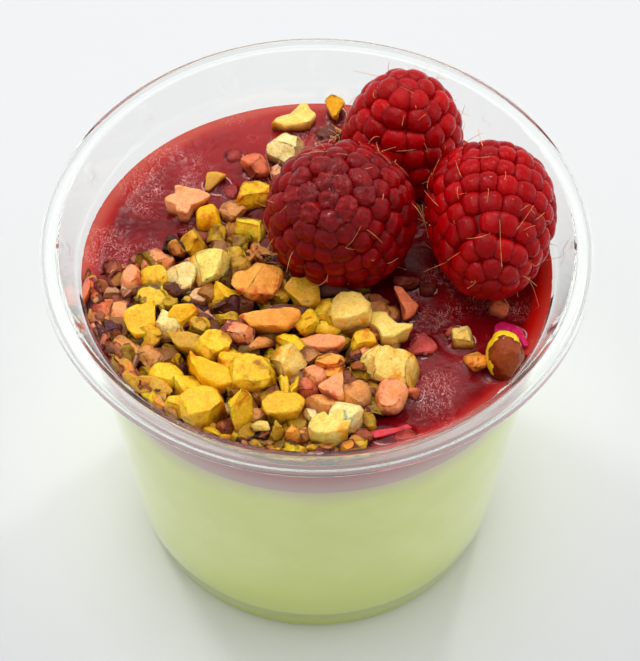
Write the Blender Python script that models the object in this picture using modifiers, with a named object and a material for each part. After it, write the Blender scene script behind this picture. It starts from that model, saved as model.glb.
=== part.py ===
"""Panna cotta in its clear dessert cup, under raspberry jelly, chopped pistachios and three raspberries.

Units are metres and +Z is up. The origin is the centre of the cup's foot, on the surface it stands on.
The camera side is -Y: the nuts are heaped at the front left and the berries sit at the back right.
"""
import math

import bmesh
import bpy
from mathutils import Matrix, Vector

# Cup: a turned shell of clear plastic with a foot ring, a heel, a shoulder and a flanged rim.
WALL = 0.0006
RIM_RADIUS = 0.0475
RIM_HEIGHT = 0.0738
RIM_ROUNDING = 0.0011
FLANGE_INNER_RADIUS = 0.0439
FLANGE_ROUNDING = 0.0005
SKIRT_DEPTH = 0.0028
FOOT_RADIUS = 0.0318
FOOT_ROUNDING = 0.0008
FOOT_RING_WIDTH = 0.0055
FOOT_RECESS = 0.0014
HEEL_HEIGHT = 0.0072
HEEL_RADIUS = 0.0337
HEEL_STEP = 0.0003
SHOULDER_HEIGHT = 0.0671
SHOULDER_RADIUS = 0.0413
LEDGE_RISE = 0.0008
LEDGE_RADIUS = 0.0421

# Contents: each layer keeps a small gap to the cup and to its neighbour.
GAP = 0.0003
PANNA_COTTA_TOP = 0.0552
JELLY_LEVEL = 0.0639
JELLY_SLOPE = (0.008, -0.030)
JELLY_RIPPLE = 0.00025
JELLY_WAVE = (330.0, 260.0)
JELLY_WAVE_SHIFT = 0.6
JELLY_SWELL = (150.0, 190.0)
JELLY_CLIMB_START = 0.0355
JELLY_CLIMB = 0.0017
JELLY_CLIMB_SWAY = 0.0009
JELLY_CLIMB_POWER = 2.5
JELLY_RINGS = (0.009, 0.018, 0.026, 0.032, 0.036, 0.0385)

# Heap of chopped pistachios: a lumpy mound that leans on the cup's wall at the front left.
HEAP_CENTRE = (-0.0125, -0.0170)
HEAP_REACH = 0.0245
HEAP_REACH_SWAY = (0.0035, 0.0018)
HEAP_REACH_LOBES = (2, 5)
HEAP_REACH_SHIFT = 1.0
HEAP_GAP = 0.0007
HEAP_EDGE = 0.0014
HEAP_CROWN = 0.0034
HEAP_LUMP = 0.0020
HEAP_LUMP_PITCH = 0.0068
HEAP_LUMP_JITTER = 0.0016
HEAP_LUMP_SHUFFLE = ((12.9, 7.3), (5.1, -9.7))
HEAP_LUMP_FADE = 0.6
HEAP_BLUNTNESS = 0.8
HEAP_WALL_GAP = 0.0010

# Raspberries: place of the middle, direction of the tip, length and width.
BERRIES = {
    "raspberry_front": {
        "centre": (0.0037, 0.0037, 0.0766), "tip": (-0.18, -0.47, 0.88), "length": 0.0250, "width": 0.0252,
    },
    "raspberry_back": {
        "centre": (0.0152, 0.0257, 0.0724), "tip": (0.06, 0.10, 1.0), "length": 0.0232, "width": 0.0207,
    },
    "raspberry_right": {
        "centre": (0.0298, 0.0034, 0.0743), "tip": (-0.03, -1.0, 0.01), "length": 0.0280, "width": 0.0216,
    },
}
BERRY_TAPER = 0.20
BERRY_TAPER_SWELL = 0.6
BERRY_BLUNTNESS = 0.80
BERRY_CALYX_DEPTH = 0.0045
BERRY_CALYX_START = 0.84
DRUPELET_COLUMNS = 9
DRUPELET_ROWS = 6
DRUPELET_HEIGHT = 0.0008
BERRY_CUT_MARGIN = 0.0005

# Materials: colour, roughness, metallic and transmission.
CLEAR_PLASTIC = ((0.90, 0.91, 0.90), 0.06, 0.0, 0.95)
PISTACHIO_CREAM = ((0.55, 0.63, 0.28), 0.45, 0.0, 0.0)
JELLY_RED = ((0.27, 0.03, 0.04), 0.22, 0.0, 0.0)
NUT_YELLOW = ((0.60, 0.46, 0.07), 0.55, 0.0, 0.0)
BERRY_RED = ((0.36, 0.008, 0.012), 0.35, 0.0, 0.0)

# Fineness of the meshes.
TURN_STEPS = 40
ARC_STEPS = 2
BERRY_SEGMENTS = 4 * DRUPELET_COLUMNS
BERRY_RINGS = 3 * DRUPELET_ROWS
HEAP_SEGMENTS = 48
HEAP_RINGS = 20
MERGE = 0.00001
SHARP_ANGLE = math.radians(35)


def clear_scene():
    for old in list(bpy.data.objects):
        bpy.data.objects.remove(old, do_unlink=True)


def new_collection(name):
    collection = bpy.data.collections.new(name)
    bpy.context.scene.collection.children.link(collection)
    return collection


def make_material(name, colour, roughness, metallic, transmission):
    material = bpy.data.materials.new(name)
    material.use_nodes = True
    shader = material.node_tree.nodes["Principled BSDF"]
    shader.inputs["Base Color"].default_value = (*colour, 1.0)
    shader.inputs["Roughness"].default_value = roughness
    shader.inputs["Metallic"].default_value = metallic
    shader.inputs["Transmission Weight"].default_value = transmission
    return material


def add_object(name, mesh, collection, material=None):
    thing = bpy.data.objects.new(name, mesh)
    collection.objects.link(thing)
    if material is not None:
        mesh.materials.append(material)
    return thing


def smooth(mesh):
    mesh.shade_smooth()
    mesh.set_sharp_from_angle(angle=SHARP_ANGLE)


def arc(centre, radius, start, end):
    """Points of a round corner in the profile's plane, angles in degrees, both ends included."""
    points = []
    for step in range(ARC_STEPS + 1):
        angle = math.radians(start + (end - start) * step / ARC_STEPS)
        points.append((centre[0] + radius * math.cos(angle), centre[1] + radius * math.sin(angle)))
    return points


def turned(name, profile, collection, material):
    """A body turned about Z from a profile of (radius, height) that ends on the axis at both ends."""
    mesh = bpy.data.meshes.new(name)
    points = [(radius, 0.0, height) for radius, height in profile]
    mesh.from_pydata(points, [(i, i + 1) for i in range(len(points) - 1)], [])
    body = add_object(name, mesh, collection, material)
    screw = body.modifiers.new("turn", "SCREW")
    screw.axis = "Z"
    screw.angle = math.tau
    screw.steps = TURN_STEPS
    screw.render_steps = TURN_STEPS
    screw.use_merge_vertices = True
    screw.merge_threshold = MERGE
    screw.use_smooth_shade = True
    return body


def applied_mesh(body):
    """The body's mesh with its modifiers applied, as a new mesh."""
    graph = bpy.context.evaluated_depsgraph_get()
    return bpy.data.meshes.new_from_object(body.evaluated_get(graph), depsgraph=graph)


def triangulate(mesh):
    """Splits faces that aren't flat, which a Boolean needs."""
    shape = bmesh.new()
    shape.from_mesh(mesh)
    bmesh.ops.triangulate(shape, faces=shape.faces)
    shape.to_mesh(mesh)
    shape.free()


def body_radius(height):
    """Outer radius of the cup's side at a height below the shoulder."""
    if height < HEEL_HEIGHT:
        return FOOT_RADIUS + (HEEL_RADIUS - HEEL_STEP - FOOT_RADIUS) * height / HEEL_HEIGHT
    share = (height - HEEL_HEIGHT) / (SHOULDER_HEIGHT - HEEL_HEIGHT)
    return HEEL_RADIUS + (SHOULDER_RADIUS - HEEL_RADIUS) * share


def cup_outside():
    """Outer half of the cup's profile, from the rim's inner corner down to the foot's centre."""
    top = RIM_HEIGHT
    skirt_inside = RIM_RADIUS - WALL
    neck = FLANGE_INNER_RADIUS + WALL
    points = arc((RIM_RADIUS - RIM_ROUNDING, top - RIM_ROUNDING), RIM_ROUNDING, 90, 0)
    points += [(RIM_RADIUS, top - SKIRT_DEPTH), (skirt_inside, top - SKIRT_DEPTH)]
    points += arc((RIM_RADIUS - RIM_ROUNDING, top - RIM_ROUNDING), RIM_ROUNDING - WALL, 0, 90)
    points += [(neck, top - WALL)]
    points += [(neck - FLANGE_ROUNDING, top - WALL - FLANGE_ROUNDING)]
    points += [(LEDGE_RADIUS, SHOULDER_HEIGHT + LEDGE_RISE), (SHOULDER_RADIUS, SHOULDER_HEIGHT)]
    points += [(HEEL_RADIUS, HEEL_HEIGHT), (HEEL_RADIUS - HEEL_STEP, HEEL_HEIGHT - HEEL_STEP)]
    points += arc((FOOT_RADIUS - FOOT_ROUNDING, FOOT_ROUNDING), FOOT_ROUNDING, 0, -90)
    ring_inside = FOOT_RADIUS - FOOT_RING_WIDTH
    points += [(ring_inside, 0.0), (ring_inside - FOOT_RECESS, FOOT_RECESS), (0.0, FOOT_RECESS)]
    return points


def floor_profile(lift):
    """The cup's inner floor from the centre outwards, raised by lift, up to the foot of the side."""
    ring_inside = FOOT_RADIUS - FOOT_RING_WIDTH
    corner = FOOT_ROUNDING + lift
    points = [(0.0, FOOT_RECESS + WALL + lift), (ring_inside - FOOT_RECESS, FOOT_RECESS + WALL + lift)]
    points += [(ring_inside, WALL + lift)]
    points += [(body_radius(corner) - WALL - lift - FOOT_ROUNDING, WALL + lift)]
    points += [(body_radius(corner) - WALL - lift, WALL + corner)]
    return points


def cup_inside():
    """Inner half of the cup's profile, from the floor's centre up to the flange's inner edge."""
    flare_top = RIM_HEIGHT - FLANGE_ROUNDING
    points = floor_profile(0.0)
    points += [(HEEL_RADIUS - HEEL_STEP - WALL, HEEL_HEIGHT - HEEL_STEP), (HEEL_RADIUS - WALL, HEEL_HEIGHT)]
    points += [(SHOULDER_RADIUS - WALL, SHOULDER_HEIGHT)]
    points += [(LEDGE_RADIUS - WALL, SHOULDER_HEIGHT + LEDGE_RISE)]
    points += [(FLANGE_INNER_RADIUS - FLANGE_ROUNDING, flare_top), (FLANGE_INNER_RADIUS, RIM_HEIGHT)]
    return points


def make_cup(collection, material):
    return turned("cup", cup_inside() + cup_outside(), collection, material)


def side_profile(low, high):
    """The contents' side from high down to low, a gap inside the cup's wall."""
    inset = WALL + GAP
    points = [(body_radius(high) - inset, high)]
    if low < HEEL_HEIGHT:
        points += [(HEEL_RADIUS - inset, HEEL_HEIGHT)]
        points += [(HEEL_RADIUS - HEEL_STEP - inset, HEEL_HEIGHT - HEEL_STEP)]
    else:
        points += [(body_radius(low) - inset, low)]
    return points


def make_panna_cotta(collection, material):
    profile = [(0.0, PANNA_COTTA_TOP)]
    profile += side_profile(0.0, PANNA_COTTA_TOP)
    profile += reversed(floor_profile(GAP))
    return turned("panna_cotta", profile, collection, material)


def jelly_height(x, y):
    """Height of the jelly's top: nearly level, gently rippled, and climbing the wall at the edge."""
    radius = math.hypot(x, y)
    level = JELLY_LEVEL + JELLY_SLOPE[0] * x + JELLY_SLOPE[1] * y
    wave = math.sin(JELLY_WAVE[0] * x + JELLY_WAVE_SHIFT) * math.cos(JELLY_WAVE[1] * y)
    swell = math.sin(JELLY_SWELL[1] * y + JELLY_SWELL[0] * x)
    ripple = JELLY_RIPPLE * (wave + swell)
    reach = body_radius(JELLY_LEVEL) - JELLY_CLIMB_START
    share = max(0.0, (radius - JELLY_CLIMB_START) / reach)
    climb = JELLY_CLIMB + JELLY_CLIMB_SWAY * math.cos(2 * math.atan2(y, x))
    return level + ripple * (1 - min(1.0, share)) + climb * share ** JELLY_CLIMB_POWER


def make_jelly(collection, material):
    """The jelly layer: a turned blank whose top is then lifted to the jelly's uneven surface."""
    bottom = PANNA_COTTA_TOP + GAP
    profile = [(0.0, JELLY_LEVEL)] + [(radius, JELLY_LEVEL) for radius in JELLY_RINGS]
    profile += side_profile(bottom, JELLY_LEVEL)
    profile += [(0.0, bottom)]
    blank = turned("jelly_blank", profile, collection, material)
    mesh = applied_mesh(blank)
    bpy.data.objects.remove(blank, do_unlink=True)
    for vertex in mesh.vertices:
        if vertex.co.z > JELLY_LEVEL - MERGE:
            height = jelly_height(vertex.co.x, vertex.co.y)
            radius = math.hypot(vertex.co.x, vertex.co.y)
            if radius > JELLY_RINGS[-1]:
                grown = body_radius(height) - WALL - GAP
                vertex.co.x *= grown / radius
                vertex.co.y *= grown / radius
            vertex.co.z = height
    triangulate(mesh)
    return add_object("raspberry_jelly", mesh, collection)


def berry_profile(berry, share):
    """Distance from the berry's axis and along it, share going from 0 at the tip to 1 at the open end."""
    angle = math.pi * share
    taper = (1 - BERRY_TAPER * math.cos(angle)) / (1 + BERRY_TAPER_SWELL * BERRY_TAPER ** 2)
    across = 0.5 * berry["width"] * math.sin(angle) ** BERRY_BLUNTNESS * taper
    along = 0.5 * berry["length"] * math.cos(angle)
    return across, along


def calyx_hollow(share):
    """How far the open end is pushed in, towards the tip."""
    inward = max(0.0, (share - BERRY_CALYX_START) / (1 - BERRY_CALYX_START))
    return BERRY_CALYX_DEPTH * inward * inward * (3 - 2 * inward)


def drupelet_bump(share, turn):
    """How far the berry's skin bulges at this place: rows of round bumps, each row half a bump on."""
    if share > BERRY_CALYX_START:
        return 0.0
    row = share * DRUPELET_ROWS - 0.5
    column = turn * DRUPELET_COLUMNS / math.tau + 0.5 * (round(row) % 2)
    off_row = row - round(row)
    off_column = column - round(column)
    return DRUPELET_HEIGHT * math.cos(math.pi * off_row) * math.cos(math.pi * off_column)


def berry_frame(berry):
    """Turns local +Z to the tip's direction and moves the middle to its place."""
    turn = Vector(berry["tip"]).normalized().to_track_quat("Z", "Y").to_matrix().to_4x4()
    return Matrix.Translation(Vector(berry["centre"])) @ turn


def berry_mesh(name, berry, margin):
    """A raspberry's skin from a UV sphere, bumpy at margin 0, or smooth and larger by margin for a cutter."""
    shape = bmesh.new()
    bmesh.ops.create_uvsphere(shape, u_segments=BERRY_SEGMENTS, v_segments=BERRY_RINGS, radius=1.0)
    for vertex in shape.verts:
        share = math.acos(max(-1.0, min(1.0, vertex.co.z))) / math.pi
        turn = math.atan2(vertex.co.y, vertex.co.x)
        across, along = berry_profile(berry, share)
        if margin == 0:
            bump = drupelet_bump(share, turn)
            along += calyx_hollow(share)
        else:
            bump = DRUPELET_HEIGHT + margin
        across += bump * math.sin(math.pi * share)
        along += bump * math.cos(math.pi * share)
        vertex.co = (across * math.cos(turn), across * math.sin(turn), along)
    mesh = bpy.data.meshes.new(name)
    shape.to_mesh(mesh)
    shape.free()
    return mesh


def make_berry(name, berry, collection, material):
    body = add_object(name, berry_mesh(name, berry, 0), collection, material)
    smooth(body.data)
    body.matrix_world = berry_frame(berry)
    return body


def make_berry_cutter(name, berry, collection):
    cutter = add_object(name + "_cutter", berry_mesh(name + "_cutter", berry, BERRY_CUT_MARGIN), collection)
    cutter.matrix_world = berry_frame(berry)
    cutter.display_type = "WIRE"
    cutter.hide_render = True
    return cutter


def cut(body, cutter):
    boolean = body.modifiers.new("clear_of_" + cutter.name, "BOOLEAN")
    boolean.operation = "DIFFERENCE"
    boolean.solver = "MANIFOLD"  # the exact solver loses the whole layer at these shallow cuts
    boolean.object = cutter


def heap_edge(turn):
    """Where the heap's outline lies in this direction from its centre: uneven, and held by the cup's wall."""
    long_sway = HEAP_REACH_SWAY[0] * math.cos(HEAP_REACH_LOBES[0] * turn + HEAP_REACH_SHIFT)
    reach = HEAP_REACH + long_sway + HEAP_REACH_SWAY[1] * math.sin(HEAP_REACH_LOBES[1] * turn)
    direction = Vector((math.cos(turn), math.sin(turn)))
    centre = Vector(HEAP_CENTRE)
    limit = body_radius(JELLY_LEVEL) - WALL - HEAP_WALL_GAP
    along = centre.dot(direction)
    to_wall = -along + math.sqrt(along * along - centre.length_squared + limit * limit)
    return centre + direction * min(reach, to_wall)


def heap_lumps(x, y):
    """Height of the heap's lumps: a jittered grid of round bumps, of which the nearest one shows."""
    nearest = HEAP_LUMP_PITCH
    column = round(x / HEAP_LUMP_PITCH)
    row = round(y / HEAP_LUMP_PITCH)
    for i in range(column - 1, column + 2):
        for j in range(row - 1, row + 2):
            shift_x, shift_y = (math.sin(first * i + second * j) for first, second in HEAP_LUMP_SHUFFLE)
            middle_x = i * HEAP_LUMP_PITCH + HEAP_LUMP_JITTER * shift_x
            middle_y = j * HEAP_LUMP_PITCH + HEAP_LUMP_JITTER * shift_y
            nearest = min(nearest, math.hypot(x - middle_x, y - middle_y))
    return HEAP_LUMP * (math.cos(math.pi * nearest / HEAP_LUMP_PITCH) - 0.5)


def make_heap(collection, material):
    """The mound: a UV sphere whose lower half lies along the jelly and whose upper half is the heap's top."""
    shape = bmesh.new()
    bmesh.ops.create_uvsphere(shape, u_segments=HEAP_SEGMENTS, v_segments=HEAP_RINGS, radius=1.0)
    for vertex in shape.verts:
        turn = math.atan2(vertex.co.y, vertex.co.x)
        latitude = math.asin(max(-1.0, min(1.0, vertex.co.z)))
        reach = math.cos(latitude) ** HEAP_BLUNTNESS
        centre = Vector(HEAP_CENTRE)
        place = centre + (heap_edge(turn) - centre) * reach
        bottom = jelly_height(*place) + HEAP_GAP
        if latitude < -MERGE:
            vertex.co = (place.x, place.y, bottom)
        else:
            crown = HEAP_EDGE + HEAP_CROWN * math.sqrt(max(0.0, 1 - reach * reach))
            lumps = heap_lumps(*place) * (1 - HEAP_LUMP_FADE * reach)
            vertex.co = (place.x, place.y, bottom + crown + lumps)
    mesh = bpy.data.meshes.new("pistachio_heap")
    shape.to_mesh(mesh)
    shape.free()
    return add_object("pistachio_heap", mesh, collection, material)


def main():
    clear_scene()
    parts = new_collection("panna_cotta_cup")
    cutters = new_collection("cutters")
    make_cup(parts, make_material("clear_plastic", *CLEAR_PLASTIC))
    make_panna_cotta(parts, make_material("pistachio_cream", *PISTACHIO_CREAM))
    jelly = make_jelly(parts, make_material("raspberry_jelly", *JELLY_RED))
    heap = make_heap(parts, make_material("chopped_pistachio", *NUT_YELLOW))
    for name, berry in BERRIES.items():
        skin = make_material(name + "_skin", *BERRY_RED)
        make_berry(name, berry, parts, skin)
        cutter = make_berry_cutter(name, berry, cutters)
        cut(jelly, cutter)
        cut(heap, cutter)


main()
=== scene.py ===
"""Looks of the panna cotta in its clear dessert cup.

The cup holds set cream, berry jelly, three raspberries and chopped pistachios.
Units are metres and +Z is up. The camera side is -Y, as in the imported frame.
"""

import math

import bmesh
import bpy
import numpy as np
from mathutils import Matrix, Vector, noise


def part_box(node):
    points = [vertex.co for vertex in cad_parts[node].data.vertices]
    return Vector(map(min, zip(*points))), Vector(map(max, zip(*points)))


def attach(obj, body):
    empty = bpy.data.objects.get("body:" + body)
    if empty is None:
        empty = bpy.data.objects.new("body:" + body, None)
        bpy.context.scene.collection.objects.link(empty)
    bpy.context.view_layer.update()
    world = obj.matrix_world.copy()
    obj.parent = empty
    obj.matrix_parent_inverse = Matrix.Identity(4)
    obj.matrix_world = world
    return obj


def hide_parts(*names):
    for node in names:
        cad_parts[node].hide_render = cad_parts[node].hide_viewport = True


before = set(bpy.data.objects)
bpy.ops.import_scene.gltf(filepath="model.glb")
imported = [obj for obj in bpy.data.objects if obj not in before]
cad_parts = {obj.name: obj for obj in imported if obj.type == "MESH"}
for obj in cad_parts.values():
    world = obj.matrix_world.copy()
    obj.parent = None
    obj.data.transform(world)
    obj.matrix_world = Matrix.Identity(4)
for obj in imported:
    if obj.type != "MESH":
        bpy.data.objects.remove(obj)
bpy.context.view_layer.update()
MM = 0.001
# Without a seed of its own, noise_vector would start from the clock.
NOISE_SEED = 7
noise.seed_set(NOISE_SEED)

# ---------------------------------------------------------------- sizes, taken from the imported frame
cup_low, cup_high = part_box("cup")
cream_low, cream_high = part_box("panna_cotta")
RIM_RADIUS = (cup_high[0] - cup_low[0]) / 2
RIM_HEIGHT = cup_high[2]
CREAM_LIFT = 0.15 * MM
CREAM_TOP = cream_high[2] + CREAM_LIFT

# The cup's other sizes, as the construction has them.
WALL = 0.6 * MM
RIM_ROUNDING = 1.1 * MM
FLANGE_INNER_RADIUS = 43.9 * MM
SKIRT_DEPTH = 2.8 * MM
BEAD_RADIUS = 0.55 * MM
FOOT_RADIUS = 31.8 * MM
FOOT_ROUNDING = 0.8 * MM
FOOT_RING_WIDTH = 5.5 * MM
FOOT_RECESS = 1.4 * MM
HEEL_HEIGHT = 7.2 * MM
HEEL_RADIUS = 33.7 * MM
HEEL_STEP = 0.3 * MM
SHOULDER_HEIGHT = 67.1 * MM
SHOULDER_RADIUS = 41.3 * MM
LEDGE_HEIGHT = SHOULDER_HEIGHT + 0.8 * MM
LEDGE_RADIUS = 42.1 * MM
NECK_FOOT_OUT = 0.15 * MM
NECK_FOOT_UP = 0.3 * MM
NECK_ROUNDING = 0.5 * MM
CORNER_EASE = 0.1 * MM
LUG_COUNT = 16
LUG_WIDTH = 2.2 * MM
LUG_DEPTH = 0.35 * MM
LUG_LOW = 70.6 * MM
LUG_HIGH = 73.0 * MM
LUG_SLOPE = 0.2 * MM
SIDE_SHARES = (0.1, 0.3, 0.5, 0.7, 0.9)

# Contents reach this far into the wall, so that no air gap shows.
BITE = 0.3 * MM
JELLY_LEVEL = 63.9 * MM
JELLY_SLOPE = (0.008, -0.030)
JELLY_RIPPLE = 0.25 * MM
JELLY_CLIMB_START = 35.5 * MM
JELLY_CLIMB = 1.7 * MM
JELLY_CLIMB_SWAY = 0.9 * MM
JELLY_CLIMB_POWER = 2.5


def srgb(red, green, blue):
    """A display colour of 0 to 255 a channel as linear RGBA."""
    linear = []
    for value in (red, green, blue):
        share = value / 255
        linear.append(share / 12.92 if share <= 0.04045 else ((share + 0.055) / 1.055) ** 2.4)
    return (*linear, 1.0)


# ---------------------------------------------------------------- helpers for materials
class Paint:
    """A material with its Principled shader, and short ways to add nodes."""

    def __init__(self, name):
        self.material = bpy.data.materials.new(name)
        self.material.use_nodes = True
        self.tree = self.material.node_tree
        self.shader = self.tree.nodes["Principled BSDF"]
        self.output = self.tree.nodes["Material Output"]
        self.place = self.tree.nodes.new("ShaderNodeTexCoord").outputs["Object"]

    def put(self, socket, value):
        if isinstance(value, bpy.types.NodeSocket):
            self.tree.links.new(value, socket)
        else:
            socket.default_value = value

    def set(self, **values):
        """Sets the shader's own sockets: underscores stand for spaces."""
        for name, value in values.items():
            self.put(self.shader.inputs[name.replace("_", " ")], value)

    def node(self, kind, inputs=(), **settings):
        node = self.tree.nodes.new("ShaderNode" + kind)
        for name, value in settings.items():
            setattr(node, name, value)
        for name, value in dict(inputs).items():
            self.put(node.inputs[name], value)
        return node

    def noise(self, scale, detail=3.0, roughness=0.5, place=None, distortion=0.0):
        inputs = {"Vector": place or self.place, "Scale": scale, "Detail": detail,
                  "Roughness": roughness, "Distortion": distortion}
        return self.node("TexNoise", inputs).outputs["Fac"]

    def math(self, operation, first, second=0.0):
        node = self.tree.nodes.new("ShaderNodeMath")
        node.operation = operation
        self.put(node.inputs[0], first)
        self.put(node.inputs[1], second)
        return node.outputs[0]

    def product(self, first, second):
        return self.math("MULTIPLY", first, second)

    def centred(self, value):
        """A noise of 0 to 1 moved to lie round 0."""
        return self.math("SUBTRACT", value, 0.5)

    def between(self, value, low, high, to_low=0.0, to_high=1.0):
        """value remapped smoothly from low..high to to_low..to_high."""
        node = self.node("MapRange", interpolation_type="SMOOTHSTEP")
        for slot, part in enumerate((value, low, high, to_low, to_high)):
            self.put(node.inputs[slot], part)
        return node.outputs[0]

    def mix(self, share, first, second, blend="MIX"):
        node = self.tree.nodes.new("ShaderNodeMix")
        node.data_type = "RGBA"
        node.blend_type = blend
        self.put(node.inputs[0], share)
        self.put(node.inputs[6], first)
        self.put(node.inputs[7], second)
        return node.outputs[2]

    def shaded(self, colour, *factors):
        """colour times red, green and blue factors."""
        return self.mix(1.0, colour, (*factors, 1.0), "MULTIPLY")

    def axis(self, which, place=None):
        node = self.node("SeparateXYZ")
        self.put(node.inputs[0], place or self.place)
        return node.outputs[which]

    def radius(self):
        """Distance from the cup's axis."""
        flat = self.stretched((1.0, 1.0, 0.0))
        length = self.node("VectorMath", operation="LENGTH")
        self.put(length.inputs[0], flat)
        return length.outputs["Value"]

    def stretched(self, factors, place=None):
        node = self.node("VectorMath", operation="MULTIPLY")
        self.put(node.inputs[0], place or self.place)
        node.inputs[1].default_value = factors
        return node.outputs[0]

    def bump(self, height, distance, below=None):
        inputs = {"Height": height, "Distance": distance, "Strength": 1.0}
        if below is not None:
            inputs["Normal"] = below
        return self.node("Bump", inputs).outputs["Normal"]

    def attribute(self, name, output="Fac"):
        return self.node("Attribute", attribute_name=name).outputs[output]


# ---------------------------------------------------------------- helpers for shapes
def add_piece(name, mesh, paint, replaces=()):
    piece = bpy.data.objects.new(name, mesh)
    bpy.context.scene.collection.objects.link(piece)
    mesh.materials.append(paint.material)
    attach(piece, "root")
    for node in replaces:
        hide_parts(node)
    return piece


def mesh_of(name, points, faces):
    mesh = bpy.data.meshes.new(name)
    mesh.from_pydata([tuple(point) for point in points], [], [tuple(face) for face in faces])
    mesh.validate()
    mesh.shade_smooth()
    return mesh


def arc(centre, radius, start, end, steps=6):
    points = []
    for step in range(steps + 1):
        angle = math.radians(start + (end - start) * step / steps)
        points.append((centre[0] + radius * math.cos(angle), centre[1] + radius * math.sin(angle)))
    return points


def turned(name, profile, steps, shape=None):
    """A closed body turned about Z from (radius, height) points, on the axis at both ends.

    shape, if given, moves a point: it takes and returns (x, y, z)."""
    points, rows, faces = [], [], []
    for radius, height in profile:
        if radius < 1e-7:
            rows.append([len(points)] * steps)
            points.append((0.0, 0.0, height))
            continue
        rows.append(list(range(len(points), len(points) + steps)))
        for step in range(steps):
            turn = math.tau * step / steps
            points.append((radius * math.cos(turn), radius * math.sin(turn), height))
    if shape is not None:
        points = [shape(*point) for point in points]
    for upper, lower in zip(rows, rows[1:]):
        for step in range(steps):
            after = (step + 1) % steps
            face = [upper[step], lower[step], lower[after], upper[after]]
            face = list(dict.fromkeys(face))
            if len(face) > 2:
                faces.append(face)
    return mesh_of(name, points, faces)


def side_radius(height):
    """Outer radius of the cup's side above the heel; height is a number or an array."""
    share = (height - HEEL_HEIGHT) / (SHOULDER_HEIGHT - HEEL_HEIGHT)
    return HEEL_RADIUS + (SHOULDER_RADIUS - HEEL_RADIUS) * share


def body_radius(height):
    """Outer radius of the cup's body at a height below the shoulder."""
    if height < HEEL_HEIGHT:
        return FOOT_RADIUS + (HEEL_RADIUS - HEEL_STEP - FOOT_RADIUS) * height / HEEL_HEIGHT
    return side_radius(height)


def jelly_height(x, y):
    """Height of the jelly's top: nearly level, gently rippled, and climbing the wall at the edge."""
    radius = math.hypot(x, y)
    level = JELLY_LEVEL + JELLY_SLOPE[0] * x + JELLY_SLOPE[1] * y
    ripple = JELLY_RIPPLE * (math.sin(330 * x + 0.6) * math.cos(260 * y) + math.sin(190 * y + 150 * x))
    reach = body_radius(JELLY_LEVEL) - JELLY_CLIMB_START
    share = max(0.0, (radius - JELLY_CLIMB_START) / reach)
    climb = JELLY_CLIMB + JELLY_CLIMB_SWAY * math.cos(2 * math.atan2(y, x))
    return level + ripple * (1 - min(1.0, share)) + climb * share ** JELLY_CLIMB_POWER


# ---------------------------------------------------------------- cup
CUP_STEPS = 384


def side_points(inset):
    """Points of the side's outline from the heel up, inset from its outer face."""
    heights = [HEEL_HEIGHT + (SHOULDER_HEIGHT - HEEL_HEIGHT) * share for share in SIDE_SHARES]
    return [(body_radius(height) - inset, height) for height in heights]


def cup_profile():
    """From the rim's inner corner down the outside to the foot's centre, and up the inside again."""
    top = RIM_HEIGHT
    neck = FLANGE_INNER_RADIUS + WALL
    bead = (RIM_RADIUS - RIM_ROUNDING, top - RIM_ROUNDING)
    outside = arc(bead, RIM_ROUNDING, 90, 0)
    skirt_bead = (RIM_RADIUS - BEAD_RADIUS, top - SKIRT_DEPTH + BEAD_RADIUS)
    outside += arc(skirt_bead, BEAD_RADIUS, 0, -250, 10)
    outside += arc(bead, RIM_ROUNDING - WALL, 0, 90)
    outside += arc((neck + NECK_ROUNDING, top - WALL - NECK_ROUNDING), NECK_ROUNDING, 90, 170, 5)
    outside += [(LEDGE_RADIUS + NECK_FOOT_OUT, LEDGE_HEIGHT + NECK_FOOT_UP), (LEDGE_RADIUS, LEDGE_HEIGHT)]
    outside += [(SHOULDER_RADIUS + CORNER_EASE, SHOULDER_HEIGHT + CORNER_EASE)]
    outside += [(SHOULDER_RADIUS, SHOULDER_HEIGHT), *reversed(side_points(0.0))]
    outside += [(HEEL_RADIUS, HEEL_HEIGHT + 1.5 * CORNER_EASE)]
    outside += [(HEEL_RADIUS - CORNER_EASE, HEEL_HEIGHT - CORNER_EASE)]
    outside += [(HEEL_RADIUS - HEEL_STEP, HEEL_HEIGHT - HEEL_STEP)]
    outside += arc((FOOT_RADIUS - FOOT_ROUNDING, FOOT_ROUNDING), FOOT_ROUNDING, 0, -90)
    ring_inside = FOOT_RADIUS - FOOT_RING_WIDTH
    outside += [(ring_inside, 0.0), (ring_inside - FOOT_RECESS, FOOT_RECESS), (0.0, FOOT_RECESS)]
    inside = floor_profile(0.0)
    inside += [(HEEL_RADIUS - HEEL_STEP - WALL, HEEL_HEIGHT - HEEL_STEP), (HEEL_RADIUS - WALL, HEEL_HEIGHT)]
    inside += side_points(WALL)
    inside += [(SHOULDER_RADIUS - WALL, SHOULDER_HEIGHT), (LEDGE_RADIUS - WALL, LEDGE_HEIGHT)]
    foot_of_neck = (LEDGE_RADIUS - WALL + NECK_FOOT_OUT, LEDGE_HEIGHT + NECK_FOOT_UP)
    bend = arc((FLANGE_INNER_RADIUS + NECK_ROUNDING, top - NECK_ROUNDING), NECK_ROUNDING, 170, 90, 5)
    inside.append(foot_of_neck)
    for height in (LUG_LOW - LUG_SLOPE, LUG_LOW, LUG_HIGH, LUG_HIGH + LUG_SLOPE):
        share = (height - foot_of_neck[1]) / (bend[0][1] - foot_of_neck[1])
        inside.append((foot_of_neck[0] + (bend[0][0] - foot_of_neck[0]) * share, height))
    return inside + bend, outside


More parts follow.
